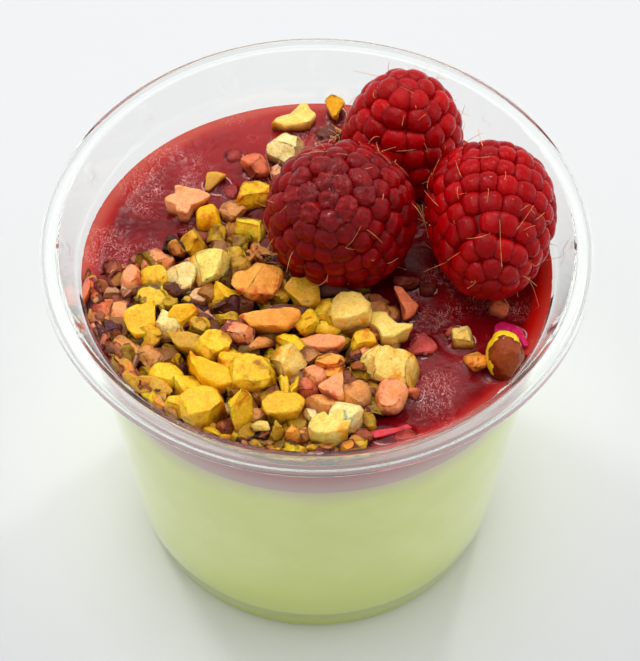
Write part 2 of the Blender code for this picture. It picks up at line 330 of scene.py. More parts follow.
def with_lugs(x, y, z):
    """Moves a point of the neck's inner face inwards where one of the small stacking lugs stands."""
    radius, turn = math.hypot(x, y), math.atan2(y, x) + math.pi / 2
    pitch = math.tau / LUG_COUNT
    off = abs((turn + pitch / 2) % pitch - pitch / 2) * radius
    on_lug = off < LUG_WIDTH / 2 and LUG_LOW - 1e-6 < z < LUG_HIGH + 1e-6
    if on_lug and radius < FLANGE_INNER_RADIUS + CORNER_EASE:
        return x * (1 - LUG_DEPTH / radius), y * (1 - LUG_DEPTH / radius), z
    return x, y, z


def floor_profile(lift):
    """The cup's inner floor from the centre outwards, moved by lift, up to the foot of the side."""
    ring_inside = FOOT_RADIUS - FOOT_RING_WIDTH
    corner = FOOT_ROUNDING + lift
    points = [(0.0, FOOT_RECESS + WALL + lift), (ring_inside - FOOT_RECESS, FOOT_RECESS + WALL + lift)]
    points += [(ring_inside, WALL + lift)]
    points += [(body_radius(corner) - WALL - lift - FOOT_ROUNDING, WALL + lift)]
    points += [(body_radius(corner) - WALL - lift, WALL + corner)]
    return points


def cup_paint():
    paint = Paint("clear_plastic")
    paint.set(Base_Color=(0.985, 0.995, 0.99, 1.0), Roughness=0.02, IOR=1.16, Transmission_Weight=1.0,
              Coat_Weight=0.8, Coat_Roughness=0.03, Coat_IOR=1.46)
    speckle = paint.noise(2600, 2)
    flow = paint.noise(90, 3, place=paint.stretched((1.0, 1.0, 0.2)))
    relief = paint.math("ADD", paint.product(speckle, 0.15), flow)
    paint.set(Normal=paint.bump(relief, 0.00002))
    clear = paint.node("BsdfTransparent")
    clear.inputs["Color"].default_value = (0.93, 0.95, 0.94, 1.0)
    light = paint.node("LightPath")
    lamp = paint.math("MAXIMUM", light.outputs["Is Shadow Ray"], light.outputs["Is Diffuse Ray"])
    trapped = paint.math("GREATER_THAN", light.outputs["Ray Depth"], 2.5)
    both = paint.node("MixShader")
    paint.put(both.inputs[0], paint.math("MAXIMUM", lamp, trapped))
    paint.put(both.inputs[1], paint.shader.outputs[0])
    paint.put(both.inputs[2], clear.outputs[0])
    paint.put(paint.output.inputs["Surface"], both.outputs[0])
    return paint


def make_cup():
    inside, outside = cup_profile()
    mesh = turned("cup_clear", inside + outside, CUP_STEPS, with_lugs)
    mesh.set_sharp_from_angle(angle=math.radians(50))
    return add_piece("cup_clear", mesh, cup_paint(), ["cup"])


# ---------------------------------------------------------------- set cream
def cream_paint():
    paint = Paint("pistachio_cream")
    height = paint.axis(2)
    sway = paint.noise(55, 2)
    height = paint.math("ADD", height, paint.product(paint.centred(sway), 0.006))
    mottle = paint.between(paint.noise(130, 4), 0.35, 0.7)
    cream = paint.mix(mottle, srgb(228, 236, 138), srgb(234, 240, 150))
    stain = paint.mix(paint.noise(80, 2), srgb(206, 176, 170), srgb(212, 186, 176))
    cream = paint.mix(paint.between(height, 0.026, 0.008), cream, srgb(220, 230, 118))
    share = paint.between(height, 0.0485, 0.0605)
    # Painted shade: the heel band at the bottom of the cream is painted darker, because it faces downwards.
    heel = paint.between(paint.axis(2), 0.0078, 0.0062)
    cream = paint.mix(heel, cream, srgb(204, 214, 68))
    paint.set(Base_Color=paint.mix(share, cream, stain))
    paint.set(Roughness=0.45, Subsurface_Weight=0.35, Subsurface_Scale=0.004,
              Subsurface_Radius=(1.0, 0.9, 0.5))
    paint.set(Normal=paint.bump(paint.noise(1500, 2), 0.00003))
    return paint


def make_cream():
    profile = [(0.0, CREAM_TOP)]
    inset = WALL - BITE
    for height in (CREAM_TOP, 0.045, 0.035, 0.025, 0.015, HEEL_HEIGHT):
        profile.append((body_radius(height) - inset, height))
    profile.append((HEEL_RADIUS - HEEL_STEP - inset, HEEL_HEIGHT - HEEL_STEP))
    profile += reversed(floor_profile(-BITE))
    mesh = turned("cream", profile[::-1], 128)
    mesh.set_sharp_from_angle(angle=math.radians(50))
    return add_piece("cream", mesh, cream_paint(), ["panna_cotta"])


# ---------------------------------------------------------------- jelly
JELLY_GRID = 240
JELLY_SIDE = (0.0615, 0.0585)


def disc_grid(count):
    """Points of a unit disc, faces of a square grid stretched over it, and its rim, anticlockwise."""
    rows = np.linspace(-1, 1, count + 1)
    a, b = (part.ravel() for part in np.meshgrid(rows, rows, indexing="ij"))
    wide = np.abs(a) > np.abs(b)
    reach = np.where(wide, a, b)
    safe = np.where(reach == 0, 1.0, reach)
    turn = np.where(wide, math.pi / 4 * b / safe, math.pi / 2 - math.pi / 4 * a / safe)
    points = np.stack([reach * np.cos(turn), reach * np.sin(turn)], axis=1)
    name = np.arange((count + 1) ** 2).reshape(count + 1, count + 1)
    corners = [name[:-1, :-1], name[1:, :-1], name[1:, 1:], name[:-1, 1:]]
    faces = np.stack([corner.ravel() for corner in corners], axis=1)
    rim = np.concatenate([name[:-1, 0], name[-1, :-1], name[:0:-1, -1], name[0, :0:-1]])
    return points, faces, rim


def jelly_relief(x, y):
    """Fine waves, ridges and pits of the jelly's wet top."""
    place = Vector((x, y, 0.0))
    broad = noise.noise(place * 160) * 0.20
    patch = min(1.0, max(0.0, 2.2 * noise.noise(place * 75 + Vector((7.1, 2.3, 0.0))) + 0.42))
    warp = noise.noise_vector(place * 300) * 0.0011
    ridges = 1 - 2 * abs(noise.noise((place + warp) * 620))
    fine = 1 - 2 * abs(noise.noise((place + warp) * 1250 + Vector((3.0, 1.0, 0.0))))
    return (broad + (ridges * 0.20 + fine * 0.11) * patch) * MM


def menisci(x, y):
    """How high the jelly creeps up beside each piece that lies in it."""
    rise = np.zeros(len(x))
    for kind, cut, across, along, length, depth, tall, turn in SCATTERED:
        across, along, _ = resting_place(kind, cut, across, along, tall * HAND_GROWTH, 0.0, SCATTERED_MIDDLE)
        if cut in OUTLINES:
            length, depth = OUTLINE_LENGTH * length, OUTLINE_DEPTH * depth
        turn = math.radians(turn)
        away = np.stack([x - across, y - along])
        side = away[0] * math.cos(turn) + away[1] * math.sin(turn)
        other = away[1] * math.cos(turn) - away[0] * math.sin(turn)
        ring = np.hypot(side / (0.5 * length * MM), other / (0.5 * depth * MM))
        gap = (ring - 0.95) * 0.25 * (length + depth) * MM
        rise = np.maximum(rise, 0.42 * MM * np.exp(-np.maximum(gap, 0) / (0.50 * MM)))
    return rise


def jelly_paint():
    paint = Paint("raspberry_jelly")
    radius = paint.radius()
    wide = paint.noise(110, 3)
    fine = paint.noise(700, 4)
    flesh = paint.mix(paint.between(wide, 0.35, 0.65), srgb(100, 4, 10), srgb(128, 8, 14))
    flesh = paint.mix(paint.between(fine, 0.55, 0.75, 0.0, 0.30), flesh, srgb(150, 26, 30))
    # Painted light: the jelly is painted a brighter red towards the back, where the light falls on it.
    flesh = paint.mix(paint.between(paint.axis(1), 0.010, 0.036, 0.0, 0.6), flesh, srgb(168, 34, 36))
    across = paint.axis(0)
    edge_colour = paint.mix(paint.between(across, 0.005, 0.032), srgb(174, 34, 28), srgb(206, 16, 6))
    edge_colour = paint.mix(paint.between(paint.axis(1), -0.006, -0.024), edge_colour, srgb(158, 22, 24))
    wobble = paint.product(paint.centred(paint.noise(140, 3)), 0.0026)
    edge = paint.between(paint.math("ADD", radius, wobble), 0.0368, 0.0392)
    colour = paint.mix(edge, flesh, edge_colour)
    to_left = paint.between(across, 0.010, -0.010, 0.15, 0.32)
    pale_rim = paint.product(paint.between(radius, 0.0385, 0.0402), to_left)
    colour = paint.mix(pale_rim, colour, srgb(230, 134, 112))
    # The jelly is painted darker round each piece, and a painted highlight runs along its raised edge there.
    creep = paint.attribute("creep")
    colour = paint.mix(paint.between(creep, 0.35, 0.85, 0.0, 0.75), colour, srgb(70, 4, 14))
    line = paint.product(paint.between(creep, 0.45, 0.60), paint.between(creep, 0.85, 0.70))
    line = paint.product(line, paint.between(paint.noise(300, 2), 0.50, 0.60, 0.0, 0.7))
    # Painted glints: thin pale crinkle lines in patches, a painted highlight on the wet top.
    glint_crinkles = paint.noise(900, 4, 0.66, distortion=1.4, place=paint.stretched((1.0, 0.62, 1.0)))
    painted_glint = paint.math("ABSOLUTE", paint.centred(glint_crinkles))
    glint_patches = paint.math("ADD", paint.noise(105, 2), paint.between(across, 0.0, -0.034, 0.0, 0.10))
    glint_patches = paint.between(glint_patches, 0.52, 0.66, 0.0, 0.85)
    painted_glint = paint.product(paint.between(painted_glint, 0.016, 0.003), glint_patches)
    colour = paint.mix(paint.math("MAXIMUM", painted_glint, line), colour, srgb(238, 176, 170))
    side = paint.between(paint.axis(2), 0.0550, 0.0615)
    facing = paint.axis(2, paint.node("NewGeometry").outputs["Normal"])
    is_side = paint.between(facing, 0.25, 0.1)
    wall_colour = paint.mix(side, srgb(206, 176, 168), srgb(190, 132, 132))
    paint.set(Base_Color=paint.mix(is_side, colour, wall_colour))
    paint.set(Roughness=paint.between(fine, 0.3, 0.7, 0.05, 0.11), Specular_IOR_Level=0.19)
    paint.set(Subsurface_Weight=0.25, Subsurface_Scale=0.002, Subsurface_Radius=(1.0, 0.2, 0.12))
    paint.set(Normal=paint.bump(paint.noise(1300, 3, 0.6, distortion=1.2), 0.00007))
    return paint


def make_jelly():
    edge = body_radius(JELLY_LEVEL) - WALL + BITE
    flat, faces, rim = disc_grid(JELLY_GRID)
    flat *= edge
    reach = np.hypot(flat[:, 0], flat[:, 1])
    calm = np.clip((edge - reach) / (2.0 * MM), 0, 1)
    rise = menisci(flat[:, 0], flat[:, 1])
    points = []
    share = list(rise / rise.max())
    for (x, y), still, creep in zip(flat, calm, rise):
        height = jelly_height(x, y)
        grown = 1.0 if still > 0 else (body_radius(height) - WALL + BITE) / edge
        points.append((x * grown, y * grown, height + jelly_relief(x, y) * still + creep * still))
    faces = [tuple(int(i) for i in face) for face in faces]
    above = [int(i) for i in rim]
    for height in (*JELLY_SIDE, CREAM_TOP):
        wide = (body_radius(height) - WALL + BITE) / edge
        below = list(range(len(points), len(points) + len(above)))
        points += [(flat[i][0] * wide, flat[i][1] * wide, height) for i in rim]
        for i in range(len(above)):
            after = (i + 1) % len(above)
            faces.append((above[i], below[i], below[after], above[after]))
        above = below
    faces.append(tuple(above[::-1]))
    mesh = mesh_of("jelly", points, faces)
    share += [0.0] * (len(points) - len(share))
    mesh.attributes.new("creep", "FLOAT", "POINT").data.foreach_set("value", share)
    mesh.set_sharp_from_angle(angle=math.radians(60))
    return add_piece("jelly", mesh, jelly_paint(), ["raspberry_jelly"])


# ---------------------------------------------------------------- joined bodies
class Pile:
    """Many closed bodies joined in one mesh, with a colour and a few numbers at each vertex."""

    def __init__(self):
        self.points, self.faces, self.layers = [], [], {}
        self.count = 0

    def add(self, points, faces, **layers):
        """layers: a number or an RGB colour for each point, or one for all of them."""
        self.points.append(np.asarray(points))
        self.faces.append([tuple(int(i) + self.count for i in face) for face in faces])
        for name, values in layers.items():
            values = np.asarray(values, float)
            shape = (len(points), 3) if values.shape[-1:] == (3,) else (len(points),)
            self.layers.setdefault(name, []).append(np.broadcast_to(values, shape))
        self.count += len(points)

    def mesh(self, name):
        faces = [face for group in self.faces for face in group]
        mesh = mesh_of(name, np.concatenate(self.points), faces)
        for key, parts in self.layers.items():
            values = np.concatenate(parts)
            if values.ndim == 2:
                layer = mesh.color_attributes.new(key, "FLOAT_COLOR", "POINT")
                flat = np.column_stack([values, np.ones(len(values))])
                layer.data.foreach_set("color", flat.ravel())
            else:
                mesh.attributes.new(key, "FLOAT", "POINT").data.foreach_set("value", values)
        return mesh


def ball(level):
    """Directions and faces of a cube blown up to a sphere, level cuts along each edge."""
    shape = bmesh.new()
    bmesh.ops.create_cube(shape, size=2.0)
    bmesh.ops.subdivide_edges(shape, edges=shape.edges, cuts=level, use_grid_fill=True)
    shape.verts.ensure_lookup_table()
    points = np.array([tuple(vertex.co) for vertex in shape.verts])
    points = np.tan(points * math.pi / 4)
    points /= np.linalg.norm(points, axis=1, keepdims=True)
    faces = [tuple(vertex.index for vertex in face.verts) for face in shape.faces]
    shape.free()
    return points, faces


def frame_along(direction, across):
    """Orthogonal rows: a side vector, the vector across it, and the direction itself."""
    direction = direction / np.linalg.norm(direction)
    side = np.cross(across, direction)
    side /= np.linalg.norm(side)
    return np.array([side, np.cross(direction, side), direction])


# ---------------------------------------------------------------- raspberries
BERRIES = {
    "raspberry_front": {
        "centre": (0.0037, 0.0037, 0.0766), "tip": (-0.18, -0.47, 0.88), "length": 0.0250, "width": 0.0252,
        "drupelet": 0.0039, "row": 0.0038, "squareness": 2.3, "tilt": 0.0, "turn": 0.4, "seed": 11,
        "wet": 1.0, "tone": (0.0, 0.22),
    },
    "raspberry_back": {
        "centre": (0.0152, 0.0257, 0.0724), "tip": (0.06, 0.10, 1.0), "length": 0.0232, "width": 0.0207,
        "drupelet": 0.0042, "row": 0.0039, "squareness": 2.3, "tilt": 0.0, "turn": 1.1, "seed": 23,
        "wet": 0.2, "tone": (0.35, 0.85),
    },
    "raspberry_right": {
        "centre": (0.0298, 0.0034, 0.0743), "tip": (-0.03, -1.0, 0.01), "length": 0.0280, "width": 0.0216,
        "drupelet": 0.0035, "row": 0.0037, "squareness": 2.4, "tilt": 0.04, "turn": 0.2, "seed": 37,
        "wet": 0.3, "tone": (0.25, 0.75),
    },
}
BERRY_TAPER = 0.20
BERRY_BLUNTNESS = 0.80
BUMP_HEIGHT = 0.8 * MM
LAST_ROW = 0.86
# A drupelet wetter than this is crumpled, and has a finer ball.
CRUMPLED_FROM = 0.35
HAIR_COUNT = 58
# The body under the drupelets, and the hollow at its open end.
CORE_DEPTH = 0.9 * MM
CORE_STEPS = 24
HOLLOW_WALL = 1.6 * MM
HOLLOW_LIP = 0.5 * MM
HOLLOW_STEPS = 8
DRUPELET_BALL = ball(5)
WET_BALL = ball(9)
CRUMPLE = 0.75 * MM


def berry_place(berry, share, lift):
    """Place (across, along) and outward normal on the berry's skin raised by lift.

    share is 0 at the tip and 1 at the open end."""
    def plain(part):
        angle = math.pi * part
        taper = (1 - BERRY_TAPER * math.cos(angle)) / (1 + 0.6 * BERRY_TAPER ** 2)
        across = 0.5 * berry["width"] * max(0.0, math.sin(angle)) ** BERRY_BLUNTNESS * taper
        return np.array([across, 0.5 * berry["length"] * math.cos(angle)])
    step = 0.004
    here = plain(share)
    slope = plain(min(1.0, share + step)) - plain(max(0.0, share - step))
    normal = np.array([-slope[1], slope[0]])
    normal /= np.linalg.norm(normal)
    if share < step:
        normal = np.array([0.0, 1.0])
    return here + normal * lift, normal


def berry_rows(berry):
    """Shares at which the rows of drupelets sit, a row's height apart along the skin."""
    shares, last, run = [0.0], berry_place(berry, 0.0, BUMP_HEIGHT)[0], 0.0
    share = 0.0
    while share < LAST_ROW:
        share += 0.002
        here = berry_place(berry, share, BUMP_HEIGHT)[0]
        run += float(np.linalg.norm(here - last))
        last = here
        if run >= berry["row"]:
            shares.append(share)
            run = 0.0
    return shares


def add_hollow_core(pile, name, berry):
    """The body under the drupelets, open where the berry came off the plant."""
    profile = []
    for step in range(CORE_STEPS + 1):
        place, _ = berry_place(berry, LAST_ROW * step / CORE_STEPS, -CORE_DEPTH)
        profile.append((max(0.0, place[0]) if step else 0.0, place[1]))
    end_across, end_along = profile[-1]
    mouth = max(0.45 * end_across, end_across - HOLLOW_WALL)
    profile += [(0.5 * (mouth + end_across), end_along - HOLLOW_LIP), (mouth, end_along)]
    depth = 0.55 * berry["length"]
    for step in range(1, HOLLOW_STEPS):
        part = step / HOLLOW_STEPS
        profile.append((mouth * math.cos(0.5 * math.pi * part) ** 0.6, end_along + depth * part))
    profile.append((0.0, end_along + depth))
    core = turned(name + "_core", profile, 56)
    points = np.array([tuple(vertex.co) for vertex in core.vertices])
    inner = np.hypot(points[:, 0], points[:, 1]) < mouth * 1.02
    inner &= points[:, 2] < end_along + depth + 1e-5
    faces = [tuple(face.vertices) for face in core.polygons]
    pile.add(points, faces, tone=0.1, wet=0.0, inner=inner.astype(float))
    bpy.data.meshes.remove(core)


def spun(flat, turn):
    """An (across, along) pair turned round the berry's axis."""
    return np.array([math.cos(turn), math.sin(turn), 0.0]) * flat[0] + np.array([0.0, 0.0, flat[1]])


def berry_mesh(name, berry):
    rng = np.random.default_rng(berry["seed"])
    pile = Pile()
    for row, share in enumerate(berry_rows(berry)):
        place, normal = berry_place(berry, share, BUMP_HEIGHT)
        count = max(1, round(math.tau * place[0] / berry["drupelet"]))
        wet = berry["wet"] * math.exp(-(share / 0.22) ** 2)
        directions, faces = WET_BALL if wet > CRUMPLED_FROM else DRUPELET_BALL
        power = berry["squareness"]
        unit = directions * ((np.abs(directions) ** power).sum(axis=1) ** (-1 / power))[:, None]
        for column in range(count):
            turn = math.tau * (column + 0.5 * (row % 2) + rng.normal(0, 0.10)) / count + berry["turn"]
            near = min(max(0.0, share + berry["tilt"] * math.sin(turn) * min(1.0, 3 * share)
                           + rng.normal(0, 0.008)), 0.9)
            place, normal = berry_place(berry, near, BUMP_HEIGHT)
            outward = spun(normal, turn)
            around = np.array([-math.sin(turn), math.cos(turn), 0.0])
            axes = frame_along(outward + rng.normal(0, 0.06, 3), around)
            wide = 0.5 * berry["drupelet"]
            if count > 1:
                wide = max(place[0] * math.pi / count, 0.4 * berry["drupelet"])
            half = np.array([0.60 * berry["row"], wide * 1.20, 0.50 * berry["drupelet"]])
            half *= 1 + rng.normal(0, 0.05, 3)
            centre = spun(place, turn) - outward * (half[2] + rng.uniform(-0.05, 0.28) * MM)
            points = centre + (unit * half) @ axes
            if wet > CRUMPLED_FROM:
                folds = [noise.fractal(Vector(point) * 850, 0.8, 2.0, 3) for point in points]
                points = points + outward * (np.array(folds)[:, None] * CRUMPLE * wet)
            # A wet drupelet is painted a little brighter: a painted sheen on the wet tip.
            tone = rng.uniform(*berry["tone"]) + 0.1 * wet
            pile.add(points, faces, tone=tone, wet=wet, inner=0.0)
    add_hollow_core(pile, name, berry)
    return pile.mesh(name)


def berry_frame(berry):
    turn = Vector(berry["tip"]).normalized().to_track_quat("Z", "Y").to_matrix().to_4x4()
    return Matrix.Translation(Vector(berry["centre"])) @ turn


def berry_paint():
    paint = Paint("raspberry_skin")
    tone = paint.attribute("tone")
    colour = paint.mix(tone, srgb(108, 0, 4), srgb(182, 3, 8))
    mottle = paint.between(paint.noise(420, 4, 0.6), 0.4, 0.72, 0.0, 0.35)
    colour = paint.mix(mottle, colour, srgb(172, 5, 9))
    colour = paint.mix(paint.attribute("inner"), colour, srgb(196, 92, 84))
    paint.set(Base_Color=colour)
    streaks = paint.noise(2100, 3, 0.5, place=paint.stretched((1.0, 1.0, 0.14)))
    wet = paint.attribute("wet")
    rough = paint.between(streaks, 0.35, 0.7, 0.13, 0.22)
    rough = paint.math("SUBTRACT", rough, paint.product(wet, 0.07))
    paint.set(Roughness=rough, Specular_IOR_Level=0.10)
    paint.set(Coat_Weight=paint.product(wet, 0.4), Coat_Roughness=0.05, Coat_IOR=1.5)
    paint.set(Subsurface_Weight=0.6, Subsurface_Scale=0.003, Subsurface_Radius=(1.0, 0.1, 0.06))
    fine = paint.bump(streaks, 0.00009)
    crumple = paint.product(paint.noise(1300, 5, 0.65, distortion=0.8), wet)
    paint.set(Normal=paint.bump(crumple, 0.0007, below=fine))
    return paint


def hair(pile, root, direction, bend, length, thickness, sides=5, parts=6):
    """A bent, tapering tube with closed ends."""
    points, faces = [], []
    previous = None
    for part in range(parts + 1):
        run = part / parts
        here = root + direction * (length * run) + bend * (length * run * run)
        tangent = direction + bend * (2 * run)
        tangent = tangent / np.linalg.norm(tangent)
        side = np.cross(tangent, previous if previous is not None else np.array([0.31, 0.52, 0.8]))
        side /= np.linalg.norm(side)
        other = np.cross(tangent, side)
        previous = other if previous is None else previous
        width = thickness * (1 - 0.55 * run)
        for step in range(sides):
            angle = math.tau * step / sides
            points.append(here + width * (math.cos(angle) * side + math.sin(angle) * other))
    for part in range(parts):
        for step in range(sides):
            after = (step + 1) % sides
            lower, upper = part * sides, (part + 1) * sides
            faces.append((lower + step, lower + after, upper + after, upper + step))
    faces.append(tuple(range(sides))[::-1])
    faces.append(tuple(range(parts * sides, (parts + 1) * sides)))
    pile.add(points, faces)


def make_hairs(name, berry, count):
    """The dried styles that stand out from between the drupelets."""
    rng = np.random.default_rng(berry["seed"] + 100)
    pile = Pile()
    for _ in range(count):
        share = math.acos(1 - 2 * rng.uniform(0.0, 0.93)) / math.pi
        turn = rng.uniform(0, math.tau)
        place, normal = berry_place(berry, share, BUMP_HEIGHT - 0.5 * MM)
        outward = spun(normal, turn)
        root = spun(place, turn)
        sideways = rng.normal(0, 0.7, 3)
        direction = outward * rng.uniform(0.45, 1.0) + sideways - outward * sideways.dot(outward)
        direction /= np.linalg.norm(direction)
        bend = rng.normal(0, 0.65, 3) - outward * 0.2
        hair(pile, root, direction, bend, rng.uniform(1.4, 3.4) * MM, rng.uniform(0.045, 0.07) * MM)
    return pile.mesh(name + "_hairs")


def make_berries():
    skin = berry_paint()
    straw = Paint("berry_hair")
    tone = straw.between(straw.noise(900, 2), 0.35, 0.65)
    straw.set(Base_Color=straw.mix(tone, srgb(214, 130, 62), srgb(240, 178, 104)), Roughness=0.4)
    for name, berry in BERRIES.items():
        piece = add_piece(name + "_fruit", berry_mesh(name + "_fruit", berry), skin, [name])
        piece.matrix_world = berry_frame(berry)
        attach(piece, "root")
        hairs = add_piece(name + "_hairs", make_hairs(name, berry, HAIR_COUNT), straw)
        hairs.matrix_world = berry_frame(berry)
        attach(hairs, "root")


# ---------------------------------------------------------------- chopped pistachios
HEAP_CENTRE = (-0.0125, -0.0170)
HEAP_REACH = 0.0245
HEAP_REACH_SWAY = (0.0035, 0.0018)
HEAP_EDGE = 1.4 * MM
HEAP_CROWN = 3.4 * MM
HEAP_WALL_GAP = 1.0 * MM

# Kinds of nut flesh: colour at the heart of a cut face, colour towards its edges (also used as painted shade
# on a piece's lower part), skin colour, chance of skin.
KINDS = {
    "yellow": ((255, 198, 34), (214, 126, 2), (140, 84, 36), 0.12),
    "butter": ((255, 214, 112), (234, 162, 26), (150, 96, 50), 0.12),
    "amber": ((255, 188, 14), (212, 112, 4), (150, 64, 20), 0.12),
    "lemon": ((248, 198, 44), (172, 116, 8), (124, 96, 36), 0.15),
    "cream": ((255, 226, 152), (242, 176, 78), (190, 110, 80), 0.2),
    "olive": ((210, 160, 38), (134, 88, 10), (92, 52, 40), 0.4),
    "tan": ((224, 154, 84), (156, 82, 36), (110, 50, 40), 0.4),
    "peach": ((250, 164, 108), (192, 84, 48), (140, 60, 48), 0.2),
    "salmon": ((228, 122, 80), (152, 50, 32), (126, 42, 44), 0.3),
    "orange": ((250, 166, 64), (190, 84, 20), (120, 46, 34), 0.3),
    "pink": ((254, 190, 142), (210, 110, 80), (150, 62, 74), 0.2),
    "brown": ((168, 92, 44), (112, 44, 20), (82, 32, 34), 0.5),
    "dark": ((124, 42, 30), (84, 22, 20), (66, 20, 28), 0.5),
    "skin": ((112, 58, 40), (78, 34, 30), (66, 26, 36), 0.7),
    "sunk": ((206, 92, 84), (166, 54, 52), (130, 26, 32), 0.0),
    "kernel": ((160, 68, 6), (122, 34, 2), (255, 202, 30), 0.0),
    "petal": ((224, 22, 104), (186, 36, 130), (230, 60, 136), 0.0),
    "strip": ((216, 62, 74), (180, 30, 52), (230, 110, 110), 0.0),
}
GROUPS = {
    "nuts_yellow": ("yellow", "lemon", "amber"), "nuts_cream": ("cream", "pink", "butter"),
    "nuts_olive": ("olive", "tan"),
    "nuts_salmon": ("salmon", "orange", "peach", "sunk"), "nuts_brown": ("brown", "dark", "skin", "kernel"),
    "petal": ("petal",), "pink_strip": ("strip",),
}
FIXED = ("kernel", "petal", "strip")
# Outlines of pieces with a shape of their own, seen from above, in millimetres. Those of the petal and the
# strip are the output of a separate script: pixels read off the photo by eye and turned into millimetres with
# the fitted camera. The others were drawn.
OUTLINES = {
    "star": ((-1.6, 4.2), (-2.1, 3.2), (-2.1, 2.2), (-3.7, 0.8), (-3.6, -0.6), (-1.9, -1.0), (-1.6, -2.6),
             (0.2, -2.9), (1.0, -1.4), (2.6, 0.2), (3.9, 1.4), (1.8, 2.7), (0.1, 3.1)),
    "sail": ((-4.2, -0.8), (-1.5, -1.6), (2.7, -1.3), (3.6, 1.4), (2.0, 3.7)),
    "crescent": ((-2.2, 2.9), (-0.6, -1.2), (-0.2, -3.0), (1.2, -1.8), (2.0, -0.3), (0.7, 2.1), (-0.6, 3.1)),
    "cross": ((-2.9, 3.0), (-3.1, 1.2), (-1.7, -0.8), (-1.2, -2.2), (0.7, -2.4), (2.0, -1.5), (3.5, -0.9),
              (3.3, 0.6), (1.1, 0.6), (-0.2, 2.9)),
    "shard": ((-1.6, 1.9), (-2.0, -1.6), (-1.2, -2.0), (1.9, 1.6)),
    "notched": ((-2.9, 0.6), (-2.1, -1.9), (-1.2, -3.2), (1.6, -3.0), (2.6, -1.2), (2.1, 0.7), (2.5, 2.4),
                (1.2, 3.4), (-1.0, 2.6)),
    "cleft": ((-3.4, 0.3), (-2.9, -1.6), (-0.6, -2.4), (2.8, -2.0), (3.4, 0.2), (2.4, 1.6), (0.9, 1.7),
              (0.3, 0.9), (-0.8, 2.2), (-2.4, 1.8)),
    "leaf": ((-4.4, 1.3), (-3.4, 2.4), (-1.6, 1.2), (1.0, 1.4), (2.2, 0.2), (4.4, -2.3), (1.6, -2.2),
             (-2.0, -0.9)),
    "boat": ((-3.2, 2.8), (-2.4, 0.4), (-0.8, -1.4), (1.6, -2.6), (3.6, -2.4), (3.9, -1.0), (2.2, 0.6),
             (0.2, 1.8)),
    "petal": ((-3.1, 0), (-2.9, 1.8), (-2.0, 2.6), (-0.8, 2.6), (0.5, 1.6), (1.7, 0.3), (2.6, -1.4),
              (2.8, -3.3), (2.2, -3.6), (1.4, -1.9), (0.3, -0.2), (-0.9, 0.5), (-2.1, 0.3)),
    "strip": ((-4.5, -0.2), (-3.2, -0.2), (-0.8, 0.3), (1.7, 0.8), (3.8, 1.6), (4.5, 1.1), (2.2, 0.1),
              (-0.5, -1.0), (-3.2, -1.6), (-4.5, -1.4)),
    "house": ((-3.3, 1.0), (-2.6, -1.8), (-0.4, -2.8), (2.9, -1.5), (3.5, 1.0), (2.2, 2.7), (-1.2, 3.0)),
}
# An outline's length and depth in the tables below are factors of these, in millimetres.
OUTLINE_LENGTH = 5.0
OUTLINE_DEPTH = 4.2
